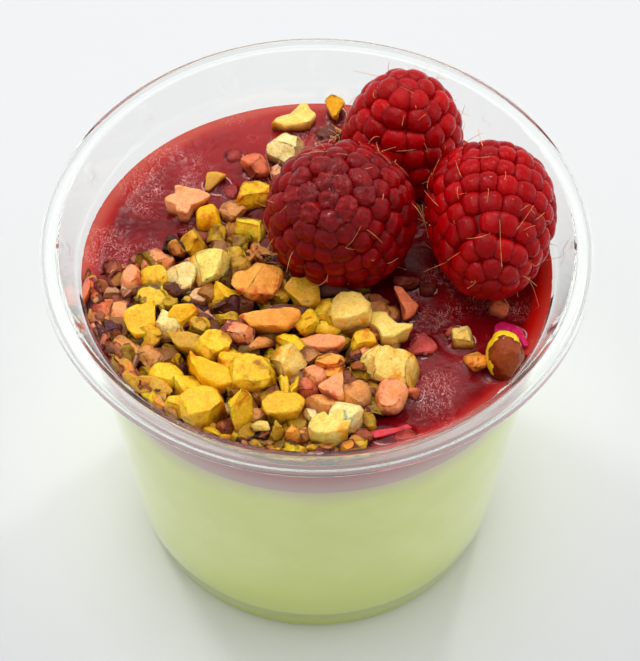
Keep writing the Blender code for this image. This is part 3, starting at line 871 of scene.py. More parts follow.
# One row a piece: kind, cut, x, y, length, depth, height in millimetres, turn in degrees. A place is where
# the piece shows from the front with its middle at the height given here; a piece lying higher moves towards
# the front, so that it still shows there. Many of the places and lengths are the output of a separate
# script, which turned pixels read off the photo by eye into millimetres with the fitted camera. Kinds, cuts,
# heights, turns and some moved places were chosen.
SCATTERED_MIDDLE = 65.5 * MM
HEAPED_MIDDLE = 67.4 * MM
SHIFT_A_RISE = 0.763
SCATTERED = (
    ("butter", "sail", -4, 34, 1, 1, 3.4, 0), ("amber", "wedge", 3.5, 37, 3.4, 4, 4.8, 0),
    ("tan", "block", 2.5, 31.5, 5, 3.5, 2.5, 5), ("cream", "block", -5.5, 27, 6.8, 6, 6, 5),
    ("pink", "block", -7, 22, 3, 3, 2.5, 30), ("salmon", "block", -11, 23.5, 4.3, 4, 3.5, 20),
    ("yellow", "block", -11.3, 17, 6, 5, 4.5, 25), ("lemon", "wedge", -11.5, 8.5, 4.2, 5.5, 4.5, 70),
    ("olive", "shard", -17.8, 19.5, 1, 1, 1.8, 0), ("peach", "star", -22.7, 14.2, 1, 1, 3.6, 0),
    ("amber", "round", -19.2, 11.6, 4.0, 5.4, 4.2, -8), ("tan", "block", -15, 13, 4, 4, 3, 40),
    ("sunk", "round", -15.5, 17.5, 3, 3, 1.6, 0), ("sunk", "round", -15, 26, 3.2, 3, 1.6, 0),
    ("sunk", "round", -14.5, 4.5, 3.4, 3.2, 1.8, 0), ("tan", "crumb", -9, 3.2, 3.5, 5, 3.5, 60),
    ("peach", "block", -27.5, 1.5, 5, 4.8, 3.5, -20), ("peach", "round", -32, -2.5, 3.8, 5, 4, 10),
    ("lemon", "round", -28, -2, 5, 4.5, 4, -30), ("cream", "block", -23.5, -2.5, 5.2, 5, 4, 0),
    ("pink", "stick", -22.5, 1, 4, 1.8, 1.5, 10), ("butter", "block", -18, 0.5, 6.8, 6.2, 5.2, 15),
    ("pink", "block", -19.5, -6, 4, 3, 2.5, 0), ("yellow", "wedge", -15.7, -6.6, 5.2, 5.4, 5, -30),
    ("olive", "crumb", -12.4, -6.5, 3.4, 3, 2.8, 0), ("lemon", "crumb", -28, -6.6, 6, 4, 3.5, -10),
    ("yellow", "notched", -29.7, -12.3, 1, 1, 5, 0), ("cream", "block", -25.5, -12.5, 4.6, 5.4, 4.5, 10),
    ("amber", "wedge", -22.6, -11, 4.3, 5, 5, -20), ("pink", "crumb", -19, -11, 4, 3.4, 3, 0),
    ("brown", "flake", -37.2, -4.6, 5.2, 2.6, 1.5, -8), ("salmon", "stick", -39.6, -5.5, 6, 1.6, 3.5, 80),
    ("salmon", "block", -36.6, -9.6, 3.4, 5.5, 4, -8), ("peach", "block", -33.6, -10, 4.5, 4, 3.5, 0),
    ("brown", "block", -34.8, -14.2, 3.4, 4.2, 3.6, 10), ("peach", "block", -32.8, -12.9, 2, 2, 2, 0),
    ("olive", "block", -32.4, -14.6, 2.6, 2, 2, 0), ("tan", "stick", -32.2, -17.7, 6.2, 3, 3, -28),
    ("tan", "block", -28.6, -19.4, 4.8, 4, 3.4, -30), ("butter", "block", 25, -14.8, 4, 3.4, 2.8, 0),
    ("salmon", "flake", 23.4, -13.4, 3.0, 1.6, 0.9, 40), ("orange", "block", 27.4, -19.2, 3.6, 3.4, 3, 30),
    ("salmon", "wedge", 31.2, -8, 2.8, 3.5, 3, 0), ("sunk", "lump", 18, -16.7, 5, 5, 2.4, 0),
    ("sunk", "round", 14.8, -35.3, 4, 3.2, 2.2, 15), ("salmon", "crescent", 15.5, -8.4, 1, 1, 3.4, 0),
    ("tan", "block", 13, -8.8, 2.2, 2, 1.8, 0), ("brown", "crumb", 10.6, -7, 3.4, 2.8, 2.4, 0),
    ("dark", "block", 15.8, -2.7, 4.6, 3.2, 2.6, 20), ("dark", "block", 19.2, -4, 2.8, 2, 1.8, 0),
    ("salmon", "block", 16, -26.2, 2.2, 2.4, 2, 0), ("kernel", "kernel", 32.1, -18.9, 8.8, 6.3, 5.4, 0),
    ("petal", "petal", 33.2, -13.5, 1, 1, 1.0, 0), ("strip", "strip", 11.5, -34.4, 1, 1, 0.9, 0),
)
HEAPED = (
    ("olive", "boat", -22, -17.6, 0.9, 0.9, 3, 14), ("lemon", "crumb", -17.3, -18, 5.6, 5.4, 5, 0),
    ("yellow", "crumb", -14.3, -21.3, 4.0, 4.2, 4, 0), ("peach", "block", -13.4, -15.2, 5.4, 4, 3.8, 0),
    ("amber", "boat", -18.3, -23.7, 1.15, 1.25, 4.2, -4), ("olive", "leaf", -28.2, -26.3, 1, 1, 2.4, 0),
    ("yellow", "round", -25, -24.3, 5.4, 4.4, 3.8, -20), ("lemon", "block", -21.5, -26.4, 4.4, 4.2, 3.5, 20),
    ("yellow", "block", -26.6, -29.6, 3.4, 2.7, 2.5, -35), ("yellow", "wedge", -23, -31, 3.2, 3.7, 3.5, 0),
    ("yellow", "block", -19, -31, 7.2, 6.4, 6, 15), ("yellow", "wedge", -12.3, -31.7, 3.6, 4.2, 8.5, 5),
    ("butter", "block", -14, -26.8, 2.8, 2.5, 2.2, 0), ("lemon", "crumb", -10.4, -24, 7.6, 6, 5, 10),
    ("brown", "round", -14.5, -35, 4, 3, 2.8, 10), ("tan", "block", -9.8, -32.7, 3, 2.5, 2.4, 0),
    ("butter", "flake", -9.2, -34.5, 3, 1.5, 0.8, 0), ("lemon", "house", -5.4, -31.2, 1, 0.9, 3.4, 0),
    ("orange", "block", -9.9, -4.6, 8.0, 6.2, 5, -10), ("olive", "block", -6.4, -6.6, 3.4, 4, 3.5, 0),
    ("olive", "notched", -1.9, -7.8, 1, 0.8, 4, 90), ("skin", "flake", 3.2, -5.8, 7, 2.2, 0.9, 12),
    ("lemon", "crumb", 1.6, -11.2, 4.4, 5.2, 4.5, 0), ("yellow", "block", -1.4, -13.0, 3.8, 3.7, 3.5, 30),
    ("lemon", "round", 1.8, -14.2, 4.2, 3.4, 3, 0), ("butter", "house", 5.7, -11.5, 1.05, 1.05, 6, 0),
    ("skin", "flake", -5.5, -10.7, 8.2, 2.5, 0.9, 5), ("orange", "boat", -8, -13.2, 1.35, 0.8, 3.6, 24),
    ("tan", "stick", -9, -17.5, 7.8, 1.9, 1.8, 35), ("yellow", "stick", -4.2, -17.3, 5.7, 2.6, 2.4, -35),
    ("peach", "boat", 1, -17.7, 0.95, 0.75, 2.6, 20), ("butter", "wedge", -4.7, -21.1, 5.0, 4.8, 4.2, 30),
    ("yellow", "stick", -5, -26.7, 4.4, 1.6, 1.6, 100), ("yellow", "stick", -3.4, -26.5, 4.4, 1.7, 1.6, 88),
    ("peach", "block", -0.3, -24.2, 3.2, 3.2, 2.8, 0), ("orange", "block", 2.2, -21.5, 4.7, 2.7, 2.5, 8),
    ("orange", "wedge", 2.9, -24.1, 3.8, 2.4, 2.4, 0), ("peach", "wedge", 2.9, -27, 4.6, 4.8, 4, 0),
    ("salmon", "block", -1.4, -26.7, 2.8, 3, 2.8, 0), ("tan", "wedge", 0.9, -29.8, 6.0, 4.2, 3.2, -15),
    ("tan", "block", 6.2, -28, 4.6, 4.2, 3.5, 0), ("yellow", "block", 7.8, -17, 3.7, 3.4, 3, 20),
    ("tan", "block", 9.4, -16.0, 2.9, 2.6, 2.4, 0), ("butter", "stick", 9.9, -20.6, 5.7, 2.9, 3.2, 60),
    ("brown", "block", 6.6, -20.2, 2.2, 2, 2, 0), ("peach", "block", 8.3, -19.5, 2.2, 2.2, 2, 0),
    ("brown", "wedge", 7.2, -22.3, 2.6, 2.2, 2, 0), ("butter", "cross", 12.4, -14.8, 1, 1, 3.0, 0),
    ("butter", "block", 13.2, -22.5, 7.6, 5.7, 5, -15), ("peach", "round", 12.6, -28.5, 4.6, 6, 4, -12),
    ("cream", "block", -0.5, -32.5, 2.9, 2.2, 2.2, 0), ("cream", "block", 5.2, -32.7, 4.8, 5, 4.5, 10),
    ("butter", "cleft", 2.2, -35.0, 1, 1, 4.6, 0), ("brown", "block", -8.5, -35.6, 2.4, 2.6, 2.6, 0),
    ("olive", "wedge", -6.7, -35.6, 2.2, 2.5, 3.8, 0), ("orange", "wedge", -4, -35.8, 2.7, 3, 3.6, 0),
    ("tan", "block", -2, -36.2, 2.2, 2.4, 2.8, 0),
)
# Kinds of the small pieces between those, by the part of the heap they lie in.
BED_KINDS = ("brown", "olive", "salmon", "tan", "skin", "orange", "yellow", "lemon")
LEFT_KINDS = ("salmon", "brown", "tan", "pink", "salmon", "orange")
BACK_KINDS = ("olive", "brown", "tan", "orange", "yellow", "skin", "lemon")
RIGHT_KINDS = ("tan", "salmon", "orange", "brown", "tan", "pink", "yellow")
MIDDLE_KINDS = ("yellow", "lemon", "olive", "yellow", "amber", "lemon", "cream", "tan")
WALL_KINDS = ("peach", "olive", "lemon", "tan", "yellow", "orange", "brown")
WALL_COUNT = 84
# The stretch of wall they lie along, in degrees.
WALL_START = 184
WALL_SWEEP = 98
# Ripples of a cut face in millimetres: pitch and height, coarse to fine.
UNEVEN = ((2.4, 0.26), (1.1, 0.14), (0.5, 0.05))
CRUMBLY = ((1.9, 0.36), (0.85, 0.28), (0.35, 0.06))
# The way the whole kernel's round side faces, and where along that way its skin starts.
KERNEL_FACES = np.array([0.26, -0.80, 0.50])
KERNEL_RIM = -0.05
# Wide bends of a whole piece: pitch and size in millimetres.
WARP_PITCH = 4.0
WARP = 0.7
# Pieces in the tables are made this much larger than their rows say.
HAND_GROWTH = 1.1
# Pieces of the heap's table are laid this much higher, in millimetres.
HEAPED_LIFT = 0.7
# Longest edge of a piece's mesh in millimetres, finer where it shows more.
HAND_FINENESS = 0.66
SMALL_FINENESS = 0.92
WALL_FINENESS = 0.90
BED_FINENESS = 1.6
# How likely skin is on a piece from the tables, against a loose one.
HAND_BARENESS = 0.2


def heap_share(x, y):
    """0 at the heap's centre, 1 at its uneven outline."""
    turn = math.atan2(y - HEAP_CENTRE[1], x - HEAP_CENTRE[0])
    sway = HEAP_REACH_SWAY[0] * math.cos(2 * turn + 1.0) + HEAP_REACH_SWAY[1] * math.sin(5 * turn)
    reach = HEAP_REACH + sway
    limit = body_radius(JELLY_LEVEL) - WALL - HEAP_WALL_GAP
    direction = Vector((math.cos(turn), math.sin(turn)))
    along = Vector(HEAP_CENTRE).dot(direction)
    to_wall = -along + math.sqrt(along * along - Vector(HEAP_CENTRE).length_squared + limit * limit)
    return math.hypot(x - HEAP_CENTRE[0], y - HEAP_CENTRE[1]) / min(reach, to_wall)


def heap_depth(x, y):
    """How thick the heap is at this place, 0 outside its outline."""
    share = heap_share(x, y)
    if share >= 1:
        return 0.0
    return HEAP_EDGE + HEAP_CROWN * math.sqrt(1 - share * share)


NUT_BALL = ball(4)[0]
# How a piece is cut: how square the kernel is, then the range of each cut's distance from the middle.
CUTS = {
    "block": (3.0, ((0.70, 0.88), (0.60, 0.82), (0.60, 0.82), (0.60, 0.82), (0.60, 0.82), (0.62, 0.8))),
    "wedge": (2.5, ((0.45, 0.65), (0.35, 0.55), (0.35, 0.55), (0.55, 0.75))),
    "lump": (2.4, ((0.55, 0.78), (0.55, 0.78), (0.55, 0.8), (0.65, 0.85))),
    "round": (2.2, ((0.72, 0.88),)),
    "crumb": (2.3, ((0.55, 0.78), (0.55, 0.78), (0.6, 0.8))),
    "kernel": (2.1, ()),
}
LOOSE_CUTS = ("block", "wedge", "lump", "crumb", "block")


def hull_of(points):
    shape = bmesh.new()
    for point in points:
        shape.verts.new(point)
    bmesh.ops.remove_doubles(shape, verts=shape.verts[:], dist=1e-3)
    bmesh.ops.convex_hull(shape, input=shape.verts[:])
    loose = [vertex for vertex in shape.verts if not vertex.link_faces]
    bmesh.ops.delete(shape, geom=loose, context="VERTS")
    return shape


def sliced(shape, way, share):
    """What a straight cut across way leaves of a convex body; share 1 is its outermost point."""
    reach = share * max(vertex.co.dot(way) for vertex in shape.verts)
    points = [vertex.co.copy() for vertex in shape.verts if vertex.co.dot(way) <= reach]
    for edge in shape.edges:
        first, second = (vertex.co for vertex in edge.verts)
        a, b = first.dot(way) - reach, second.dot(way) - reach
        if a * b < 0:
            points.append(first.lerp(second, a / (a - b)))
    shape.free()
    return hull_of(points)


def kernel_depth(points, power):
    """1 on the skin of the whole kernel, 0 at its middle."""
    return (np.abs(points) ** power).sum(axis=1) ** (1 / power)


def sliced_body(cut, size, rng):
    """A rounded kernel chopped straight a few times: its body in millimetres, and its box before that."""
    power, slices = CUTS[cut]
    shape = hull_of(NUT_BALL / kernel_depth(NUT_BALL, power)[:, None])
    turn = rng.uniform(0, math.tau)
    for number, (low, high) in enumerate(slices):
        if number == 0:
            way = np.array([*rng.normal(0, 0.28, 2), 1.0])
        else:
            turn += math.tau / max(1, min(4, len(slices) - 1)) + rng.normal(0, 0.3)
            way = np.array([math.cos(turn), math.sin(turn), rng.normal(0.1, 0.35)])
        if number == 5:
            way = rng.normal(0, 1, 3)
        shape = sliced(shape, Vector(way).normalized(), rng.uniform(low, high))
    if cut == "kernel":
        shape = sliced(shape, Vector((0, 0, -1)), 0.5)
    points = np.array([vertex.co[:] for vertex in shape.verts])
    low, high = points.min(axis=0), points.max(axis=0)
    for vertex, point in zip(shape.verts, (points - (low + high) / 2) / (high - low) * size):
        vertex.co = point
    bmesh.ops.dissolve_limit(shape, angle_limit=0.06, verts=shape.verts[:], edges=shape.edges[:])
    return shape, low, high


def outlined_body(cut, size, rng):
    """A slab with an outline of its own, in millimetres."""
    shape = bmesh.new()
    outline = np.array(OUTLINES[cut]) * size[:2]
    outline += rng.normal(0, 0.08, outline.shape)
    rows = []
    for level, spread in ((-0.5, 0.86), (0.5, 1.0)):
        tilt = rng.normal(0, 0.06, 2)
        rows.append([shape.verts.new((x * spread, y * spread, level * size[2] + (x * tilt[0] + y * tilt[1])
                                      + rng.normal(0, 0.10 * size[2]))) for x, y in outline])
    low, high = rows
    shape.faces.new(high)
    shape.faces.new(low[::-1])
    for i in range(len(outline)):
        after = (i + 1) % len(outline)
        shape.faces.new((low[i], low[after], high[after], high[i]))
    bmesh.ops.triangulate(shape, faces=shape.faces[:])
    bmesh.ops.dissolve_limit(shape, angle_limit=0.12, verts=shape.verts[:], edges=shape.edges[:])
    return shape


def fine_mesh(shape, bevel, fineness):
    """Softens a body's sharp edges, cuts it fine, and gives its points, faces and normals."""
    sharp = [edge for edge in shape.edges if edge.calc_face_angle(0.0) > 0.42]
    bmesh.ops.bevel(shape, geom=sharp, offset=bevel, offset_type="OFFSET", segments=2,
                    profile=0.6, affect="EDGES", clamp_overlap=True)
    bmesh.ops.triangulate(shape, faces=shape.faces[:])
    for _ in range(4):
        long_edges = [edge for edge in shape.edges if edge.calc_length() > fineness]
        if not long_edges:
            break
        bmesh.ops.subdivide_edges(shape, edges=long_edges, cuts=1)
        bmesh.ops.triangulate(shape, faces=shape.faces[:])
    bmesh.ops.recalc_face_normals(shape, faces=shape.faces[:])
    shape.normal_update()
    shape.verts.index_update()
    points = np.array([vertex.co[:] for vertex in shape.verts])
    normals = np.array([vertex.normal[:] for vertex in shape.verts])
    faces = [tuple(vertex.index for vertex in face.verts) for face in shape.faces]
    shape.free()
    return points, faces, normals


def roughened(points, normals, uneven, warp, rng):
    """Points moved a little, so that no face stays flat and no edge straight."""
    offset = Vector(rng.uniform(-90, 90, 3))
    moved = []
    for point, normal in zip(points, normals):
        place = Vector(point)
        rise = sum(height * noise.noise(place / pitch + offset) for pitch, height in uneven)
        moved.append(point + normal * rise + np.array(noise.noise_vector(place / WARP_PITCH + offset)) * warp)
    return np.array(moved)


def tilted(turn, rng, amount):
    tilt = Matrix.Rotation(rng.normal(0, amount), 3, "X") @ Matrix.Rotation(rng.normal(0, amount), 3, "Y")
    return np.array(Matrix.Rotation(turn, 3, "Z") @ tilt)


def resting_place(kind, cut, x, y, tall, sink, level):
    """Middle in metres of a piece that shows at x, y from the front.

    x, y, tall and sink are in millimetres."""
    base = jelly_height(x * MM, y * MM)
    rise = {"sunk": -0.1, "kernel": 3.0, "petal": 0.9, "strip": 0.6}.get(kind, 0.34 * tall) - sink
    middle = base + rise * MM
    if level == HEAPED_MIDDLE:
        middle += 0.40 * heap_depth(x * MM, y * MM) + (2.4 * MM if cut == "flake" else 0.0)
    return x * MM, y * MM - SHIFT_A_RISE * (middle - level), middle


def chunk(pile, rng, kind, cut, centre, size, turn, fineness, floor_height, bareness=1.0, shade=1.0):
    """One chopped piece, coloured from the heart of its cut faces to their edges; size in millimetres."""
    size = np.array(size, float)
    outlined = cut in OUTLINES
    small = size[2] if outlined else min(size)
    fixed = cut in FIXED
    ease = min(1.0, small / 3.0)
    bevel = min(0.07 * small + 0.10, 0.42)
    if outlined:
        points, faces, normals = fine_mesh(outlined_body(cut, size, rng), 1.5 * bevel, fineness)
        near_edge = np.sort(np.abs(points) / np.abs(points).max(axis=0), axis=1)[:, 1]
        heart_share = np.clip(1.6 - 1.6 * near_edge, 0, 1)
    else:
        form = "block" if cut in ("stick", "flake") else cut
        shape, low, high = sliced_body(form, size, rng)
        points, faces, normals = fine_mesh(shape, bevel, fineness)
        inside = kernel_depth(points / size * (high - low) + (low + high) / 2, CUTS[form][0])
        heart_share = np.clip((1 - inside) / 0.42, 0, 1)
    uneven = CRUMBLY if cut == "crumb" else UNEVEN
    uneven = [(pitch, rise * ease) for pitch, rise in uneven]
    points = roughened(points, normals, uneven, 0.0 if fixed else WARP * ease, rng)
    half = np.abs(points).max(axis=0)
    local = points / half
    if cut == "flake":
        points[:, 2] += 0.35 * size[2] * np.cos(3.0 * points[:, 0] / half[0]) + 0.25 * points[:, 1]
    if cut == "kernel":
        turned_by = frame_along(KERNEL_FACES, np.array([1.0, 0.0, 0.0]))
    else:
        turned_by = tilted(turn, rng, 0.0 if fixed else 0.08 if outlined else 0.2).T
    points = points @ turned_by * MM + np.array(centre)
    limit = side_radius(points[:, 2]) - WALL - 0.1 * MM
    reach = np.hypot(points[:, 0], points[:, 1])
    points[:, :2] *= np.minimum(1.0, limit / reach)[:, None]
    height = local[:, 2:].copy() if fixed else (points[:, 2:] - centre[2]) / (0.5 * size[2] * MM)
    heart, edge, skin = (np.array(srgb(*colour)[:3]) for colour in KINDS[kind][:3])
    shift = Vector((turn, 0, 0))
    blotch = np.array([noise.fractal(Vector(place) * 380 + shift, 0.7, 2.2, 3) for place in points])
    # The edge colour spreads over the cut faces' edges and, as painted shade, over the lower part of each
    # piece.
    edge_tint_and_shade = 0.60 - 0.8 * heart_share + 1.5 * blotch + local @ rng.normal(0, 0.25, 3) - 0.75 * height[:, 0]
    edge_tint_and_shade = np.clip(edge_tint_and_shade, 0, 1)
    edge_tint_and_shade = (edge_tint_and_shade * edge_tint_and_shade * (3 - 2 * edge_tint_and_shade))[:, None]
    colours = (heart * (1 - edge_tint_and_shade) + edge * edge_tint_and_shade) * shade * rng.normal(1.0, 0.05)
    # Painted shade: the lower part of each piece is darkened.
    colours = np.minimum(colours * (1 - 0.55 * np.clip(0.35 - height, 0, 1.2)), 0.97)
    if cut == "kernel":
        cover = 2.0 * (KERNEL_RIM - local[:, 2] + 0.5 * blotch)
    elif rng.uniform() < KINDS[kind][3] * bareness:
        cover = 0.5 - 2.5 * heart_share + 1.2 * blotch + local @ rng.normal(0, 0.4, 3)
    else:
        cover = -1.0
    # Juice stain near the jelly, and painted shade on each piece's underside.
    soak = np.clip(1.15 - (points[:, 2] - floor_height) / (1.7 * MM), 0, 1)
    soak = np.maximum(soak, 0.7 * np.clip(-0.15 - height[:, 0], 0, 1)) * (not fixed)
    pile.add(points, faces, tint=colours, coat=np.broadcast_to(skin, colours.shape), cover=cover, soak=soak)


def nut_paint(name, gloss):
    paint = Paint(name)
    coarse = paint.noise(700, 4, 0.6)
    grain = paint.noise(2300, 4, 0.6)
    tint = paint.attribute("tint", "Color")
    hue = paint.noise(300, 2)
    deep = (grain, 0.40, 0.66, 0.55, (0.78, 0.52, 0.28))
    pale = (coarse, 0.50, 0.64, 0.6, (1.02, 1.12, 1.4))
    green = (hue, 0.42, 0.30, 0.4, (0.76, 0.80, 0.3))
    orange = (hue, 0.58, 0.70, 0.4, (0.98, 0.66, 0.30))
    colour = tint
    for field, low, high, most, factors in (deep, pale, green, orange):
        share = paint.between(field, low, high, 0.0, most)
        colour = paint.mix(share, colour, paint.shaded(tint, *factors))
    sway = paint.product(paint.centred(paint.noise(1100, 3)), 0.5)
    cover = paint.between(paint.math("ADD", paint.attribute("cover"), sway), -0.05, 0.05)
    colour = paint.mix(cover, colour, paint.attribute("coat", "Color"))
    soak = paint.attribute("soak")
    # Darker red-brown below: juice stain near the jelly and painted shade on the undersides.
    stain = paint.shaded(colour, 0.46, 0.16, 0.15)
    colour = paint.mix(paint.between(soak, 0.0, 0.9, 0.0, 0.95), colour, stain)
    rough = paint.between(coarse, 0.35, 0.65, gloss - 0.05, gloss + 0.07)
    rough = paint.math("ADD", rough, paint.product(soak, -0.04))
    paint.set(Base_Color=colour, Roughness=rough, Specular_IOR_Level=0.25)
    paint.set(Subsurface_Weight=0.8, Subsurface_Scale=0.0010, Subsurface_Radius=(0.7, 0.5, 0.2))
    fine = paint.bump(grain, 0.00018)
    paint.set(Normal=paint.bump(coarse, 0.00032, below=fine))
    return paint


def make_core():
    """Dark crumbs under the loose pieces: dark juice, and painted shade in the heap's gaps."""
    directions, faces = ball(24)
    points = []
    for way in directions:
        turn = math.atan2(way[1], way[0])
        flat = math.hypot(way[0], way[1]) ** 0.8
        far = Vector((math.cos(turn), math.sin(turn)))
        low, high = 0.0, 0.05
        for _ in range(24):
            middle = (low + high) / 2
            place = Vector(HEAP_CENTRE) + far * middle
            low, high = (middle, high) if heap_share(*place) < 0.93 else (low, middle)
        place = Vector(HEAP_CENTRE) + far * (low * flat)
        base = jelly_height(*place)
        if way[2] < 0:
            points.append((place.x, place.y, base - 0.6 * MM))
        else:
            lumps = noise.noise(Vector((place.x, place.y, 0)) * 420) * 0.7 * MM
            rise = 0.22 * heap_depth(*place) * way[2] ** 0.5
            points.append((place.x, place.y, base - 0.3 * MM + rise + lumps * way[2] ** 0.5))
    paint = Paint("nut_crumbs")
    tone = paint.between(paint.noise(900, 4, 0.6), 0.35, 0.68)
    paint.set(Base_Color=paint.mix(tone, srgb(34, 8, 14), srgb(84, 26, 24)), Roughness=0.16)
    crumbs = paint.bump(paint.noise(1500, 4, 0.6), 0.0007)
    paint.set(Normal=crumbs)
    mesh = mesh_of("nut_core", points, faces)
    add_piece("nut_core", mesh, paint, ["pistachio_heap"])


def gap_places(rng, taken, low, high, share, tries):
    """Free places in the heap for pieces of low to high millimetres across: x, y, size, all in millimetres.

    taken holds the x, y and half width of the pieces there already, and is added to."""
    found = []
    for _ in range(tries):
        x, y = np.array(HEAP_CENTRE) / MM + rng.uniform(-30, 30, 2)
        size = rng.uniform(low, high)
        if heap_share(x * MM, y * MM) > 1:
            continue
        if all(math.hypot(x - a, y - b) > share * (half + size / 2) for a, b, half in taken):
            taken.append((x, y, size / 2))
            found.append((x, y, size))
    return found


def kinds_here(x, y):
    if x < -29:
        return LEFT_KINDS
    if y > -12:
        return BACK_KINDS
    return RIGHT_KINDS if x > -4 else MIDDLE_KINDS


def make_nuts():
    rng = np.random.default_rng(5)
    piles = {group: Pile() for group in GROUPS}
    of_kind = {kind: piles[group] for group, kinds in GROUPS.items() for kind in kinds}

    def lay(kind, cut, x, y, size, turn, sink, level, fineness, *looks):
        centre = resting_place(kind, cut, x, y, size[2], sink, level)
        base = jelly_height(x * MM, y * MM)
        chunk(of_kind[kind], rng, kind, cut, centre, size, math.radians(turn), fineness, base, *looks)

    taken = []
    for rows, level in ((SCATTERED, SCATTERED_MIDDLE), (HEAPED, HEAPED_MIDDLE)):
        for kind, cut, x, y, length, depth, height, turn in rows:
            grown = np.array([length, depth, height]) * (1.0 if kind in FIXED else HAND_GROWTH)
            sink = -HEAPED_LIFT if level == HEAPED_MIDDLE else 0.0
            lay(kind, cut, x, y, grown, turn, sink, level, HAND_FINENESS, HAND_BARENESS)
            if cut in OUTLINES:
                length, depth = OUTLINE_LENGTH * length, OUTLINE_DEPTH * depth
            taken.append((x, y, (length + depth) / 4))
    bed = gap_places(rng, [], 3.2, 5.2, 0.80, 900)
    gaps = [place for low, high, tries in ((3.0, 4.2, 1500), (2.2, 3.0, 1500), (1.5, 2.2, 600))
            for place in gap_places(rng, taken, low, high, 0.78, tries)]
    crumbs = gap_places(rng, taken, 0.8, 1.3, 0.7, 500)
    # Loose pieces are painted darker by their shade factor, the bed beneath most: painted shade and juice in
    # the heap's gaps.
    for places, kinds, low, high, shade, fineness in (
            (bed, BED_KINDS, 1.4, 2.0, 0.40, BED_FINENESS), (gaps, None, 0.2, 1.2, 0.66, SMALL_FINENESS),
            (crumbs, None, -0.2, 0.8, 0.85, SMALL_FINENESS)):
        for x, y, size in places:
            choice = kinds or kinds_here(x, y)
            kind = choice[int(rng.integers(0, len(choice)))]
            cut = LOOSE_CUTS[int(rng.integers(0, len(LOOSE_CUTS)))]
            shape = np.array([1.15, 1.0, 0.9]) * size * rng.uniform(0.85, 1.15, 3)
            lay(kind, cut, x, y, shape, rng.uniform(0, 360), rng.uniform(low, high), HEAPED_MIDDLE, fineness,
                1.0, shade * rng.uniform(0.8, 1.3))
    for step in range(WALL_COUNT):
        turn = math.radians(WALL_START + WALL_SWEEP * (step + rng.uniform(-0.4, 0.4)) / WALL_COUNT)
        kinds = LEFT_KINDS if math.cos(turn) < -0.72 else WALL_KINDS
        kind = kinds[int(rng.integers(0, len(kinds)))]
        size = (rng.uniform(1.4, 2.4), rng.uniform(2.2, 4.6), rng.uniform(1.8, 2.8))
        reach = body_radius(JELLY_LEVEL) - WALL - rng.uniform(0.2, 2.2) * MM
        x, y = reach * math.cos(turn), reach * math.sin(turn)
        base = jelly_height(x, y)
        cut = LOOSE_CUTS[int(rng.integers(0, 3))]
        centre = (x, y, base + rng.uniform(0.6, 2.6) * MM)
        turned_to = turn + rng.normal(0, 0.25)
        shade = rng.uniform(0.7, 1.1)
        chunk(of_kind[kind], rng, kind, cut, centre, size, turned_to, WALL_FINENESS, base, 1.0, shade)
    for group, pile in piles.items():
        gloss = {"nuts_brown": 0.12, "nuts_salmon": 0.13}.get(group, 0.15)
        add_piece(group, pile.mesh(group), nut_paint(group, gloss))


# ---------------------------------------------------------------- studio
def make_floor():
    paint = Paint("floor_white")
    # Painted light: the floor is painted lighter towards the back.
    tone = paint.between(paint.axis(1), -0.14, 0.14)
    colour = paint.mix(tone, (0.605, 0.612, 0.65, 1.0), (0.64, 0.643, 0.655, 1.0))
    # Painted light: a lighter ring round the cup lifts its shadow on the floor.
    near = paint.between(paint.radius(), 0.080, 0.035)
    colour = paint.mix(paint.product(near, 0.72), colour, (0.84, 0.845, 0.865, 1.0))
    paint.set(Base_Color=colour, Roughness=0.6)
    mesh = mesh_of("floor", [(-3, -3, 0), (3, -3, 0), (3, 3, 0), (-3, 3, 0)], [(0, 1, 2, 3)])
    floor = bpy.data.objects.new("floor", mesh)
    bpy.context.scene.collection.objects.link(floor)
    mesh.materials.append(paint.material)


# Each lamp: place, height on the axis that it looks at, size, power.
LAMPS = {
    "overhead": ((-0.02, 0.02, 0.66), 0.05, (0.6, 0.5), 1.5),
    "key": ((-0.13, 0.13, 0.62), 0.05, (0.20, 0.20), 0.25),
    "window": ((-0.10, 0.40, 0.60), 0.05, (0.56, 0.15), 0.40),
    "right_strip": ((0.55, 0.05, 0.30), 0.05, (0.25, 0.5), 0.4),
    "spark_left": ((-0.26, 0.26, 0.62), 0.06, (0.08, 0.08), 0.7),
    "spark_right": ((0.20, 0.34, 0.60), 0.06, (0.05, 0.05), 0.6),
}


def soft_light(name, place, aim, size, power):
    lamp = bpy.data.lights.new(name, "AREA")
    lamp.shape = "RECTANGLE"
    lamp.size, lamp.size_y = size
    lamp.energy = power
    thing = bpy.data.objects.new(name, lamp)
    bpy.context.scene.collection.objects.link(thing)
    thing.location = place
    thing.rotation_euler = (Vector((0.0, 0.0, aim)) - Vector(place)).to_track_quat("-Z", "Y").to_euler()


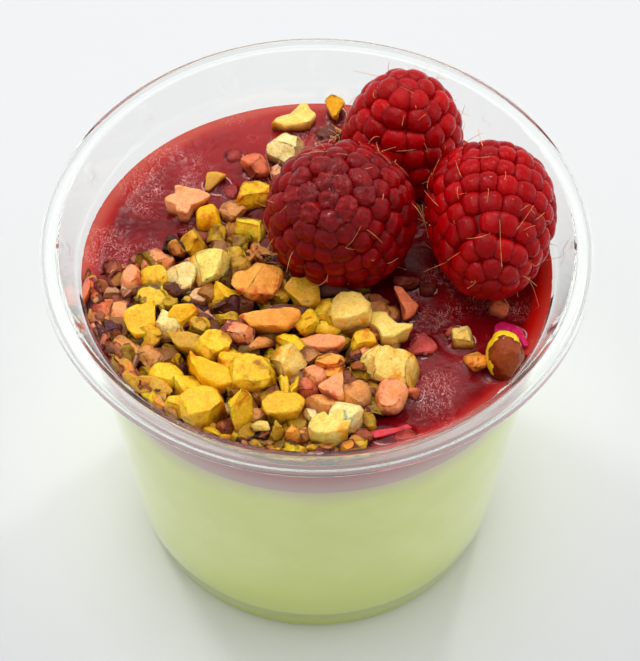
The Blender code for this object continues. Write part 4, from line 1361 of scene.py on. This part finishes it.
def make_studio():
    world = bpy.data.worlds.new("studio")
    bpy.context.scene.world = world
    world.use_nodes = True
    tree = world.node_tree
    place = tree.nodes.new("ShaderNodeTexCoord")
    split = tree.nodes.new("ShaderNodeSeparateXYZ")
    tree.links.new(place.outputs["Generated"], split.inputs[0])
    strength = None
    for axis, low, high, from_value, to_value in ((1, -0.9, 0.1, 0.60, 1.02), (2, 0.1, 0.8, 1.0, 0.69)):
        ramp = tree.nodes.new("ShaderNodeMapRange")
        for slot, value in enumerate((low, high, from_value, to_value), start=1):
            ramp.inputs[slot].default_value = value
        tree.links.new(split.outputs[axis], ramp.inputs["Value"])
        if strength is None:
            strength = ramp.outputs[0]
            continue
        product = tree.nodes.new("ShaderNodeMath")
        product.operation = "MULTIPLY"
        tree.links.new(strength, product.inputs[0])
        tree.links.new(ramp.outputs[0], product.inputs[1])
        strength = product.outputs[0]
    back = tree.nodes["Background"]
    back.inputs["Color"].default_value = (0.985, 0.99, 1.0, 1.0)
    tree.links.new(strength, back.inputs["Strength"])
    for name, settings in LAMPS.items():
        soft_light(name, *settings)


# The camera as a fit to the circles of the cup in the photograph gave it.
CAMERA_PLACE = Vector((0.65, -323.37, 472.15)) * MM
CAMERA_TARGET = Vector((0.65, 0.0, 48.36)) * MM
CAMERA_LENS = 163.4
CAMERA_ROLL = 0.0039


def make_camera():
    """Looks down at the toppings from the front, at the photograph's angle."""
    data = bpy.data.cameras.new("camera")
    data.sensor_width = 36.0
    data.lens = CAMERA_LENS
    data.clip_start = 0.01
    camera = bpy.data.objects.new("camera", data)
    bpy.context.scene.collection.objects.link(camera)
    forward = (CAMERA_TARGET - CAMERA_PLACE).normalized()
    right = forward.cross(Vector((0, 0, 1))).normalized()
    up = right.cross(forward)
    rolled = right * math.cos(CAMERA_ROLL) + up * math.sin(CAMERA_ROLL)
    turn = Matrix((rolled, rolled.cross(forward), -forward)).transposed()
    camera.matrix_world = Matrix.Translation(CAMERA_PLACE) @ turn.to_4x4()
    bpy.context.scene.camera = camera


make_cup()
make_cream()
make_jelly()
make_berries()
make_core()
make_nuts()
make_floor()
make_studio()
make_camera()
bpy.context.scene.view_settings.view_transform = "Standard"
bpy.context.view_layer.update()
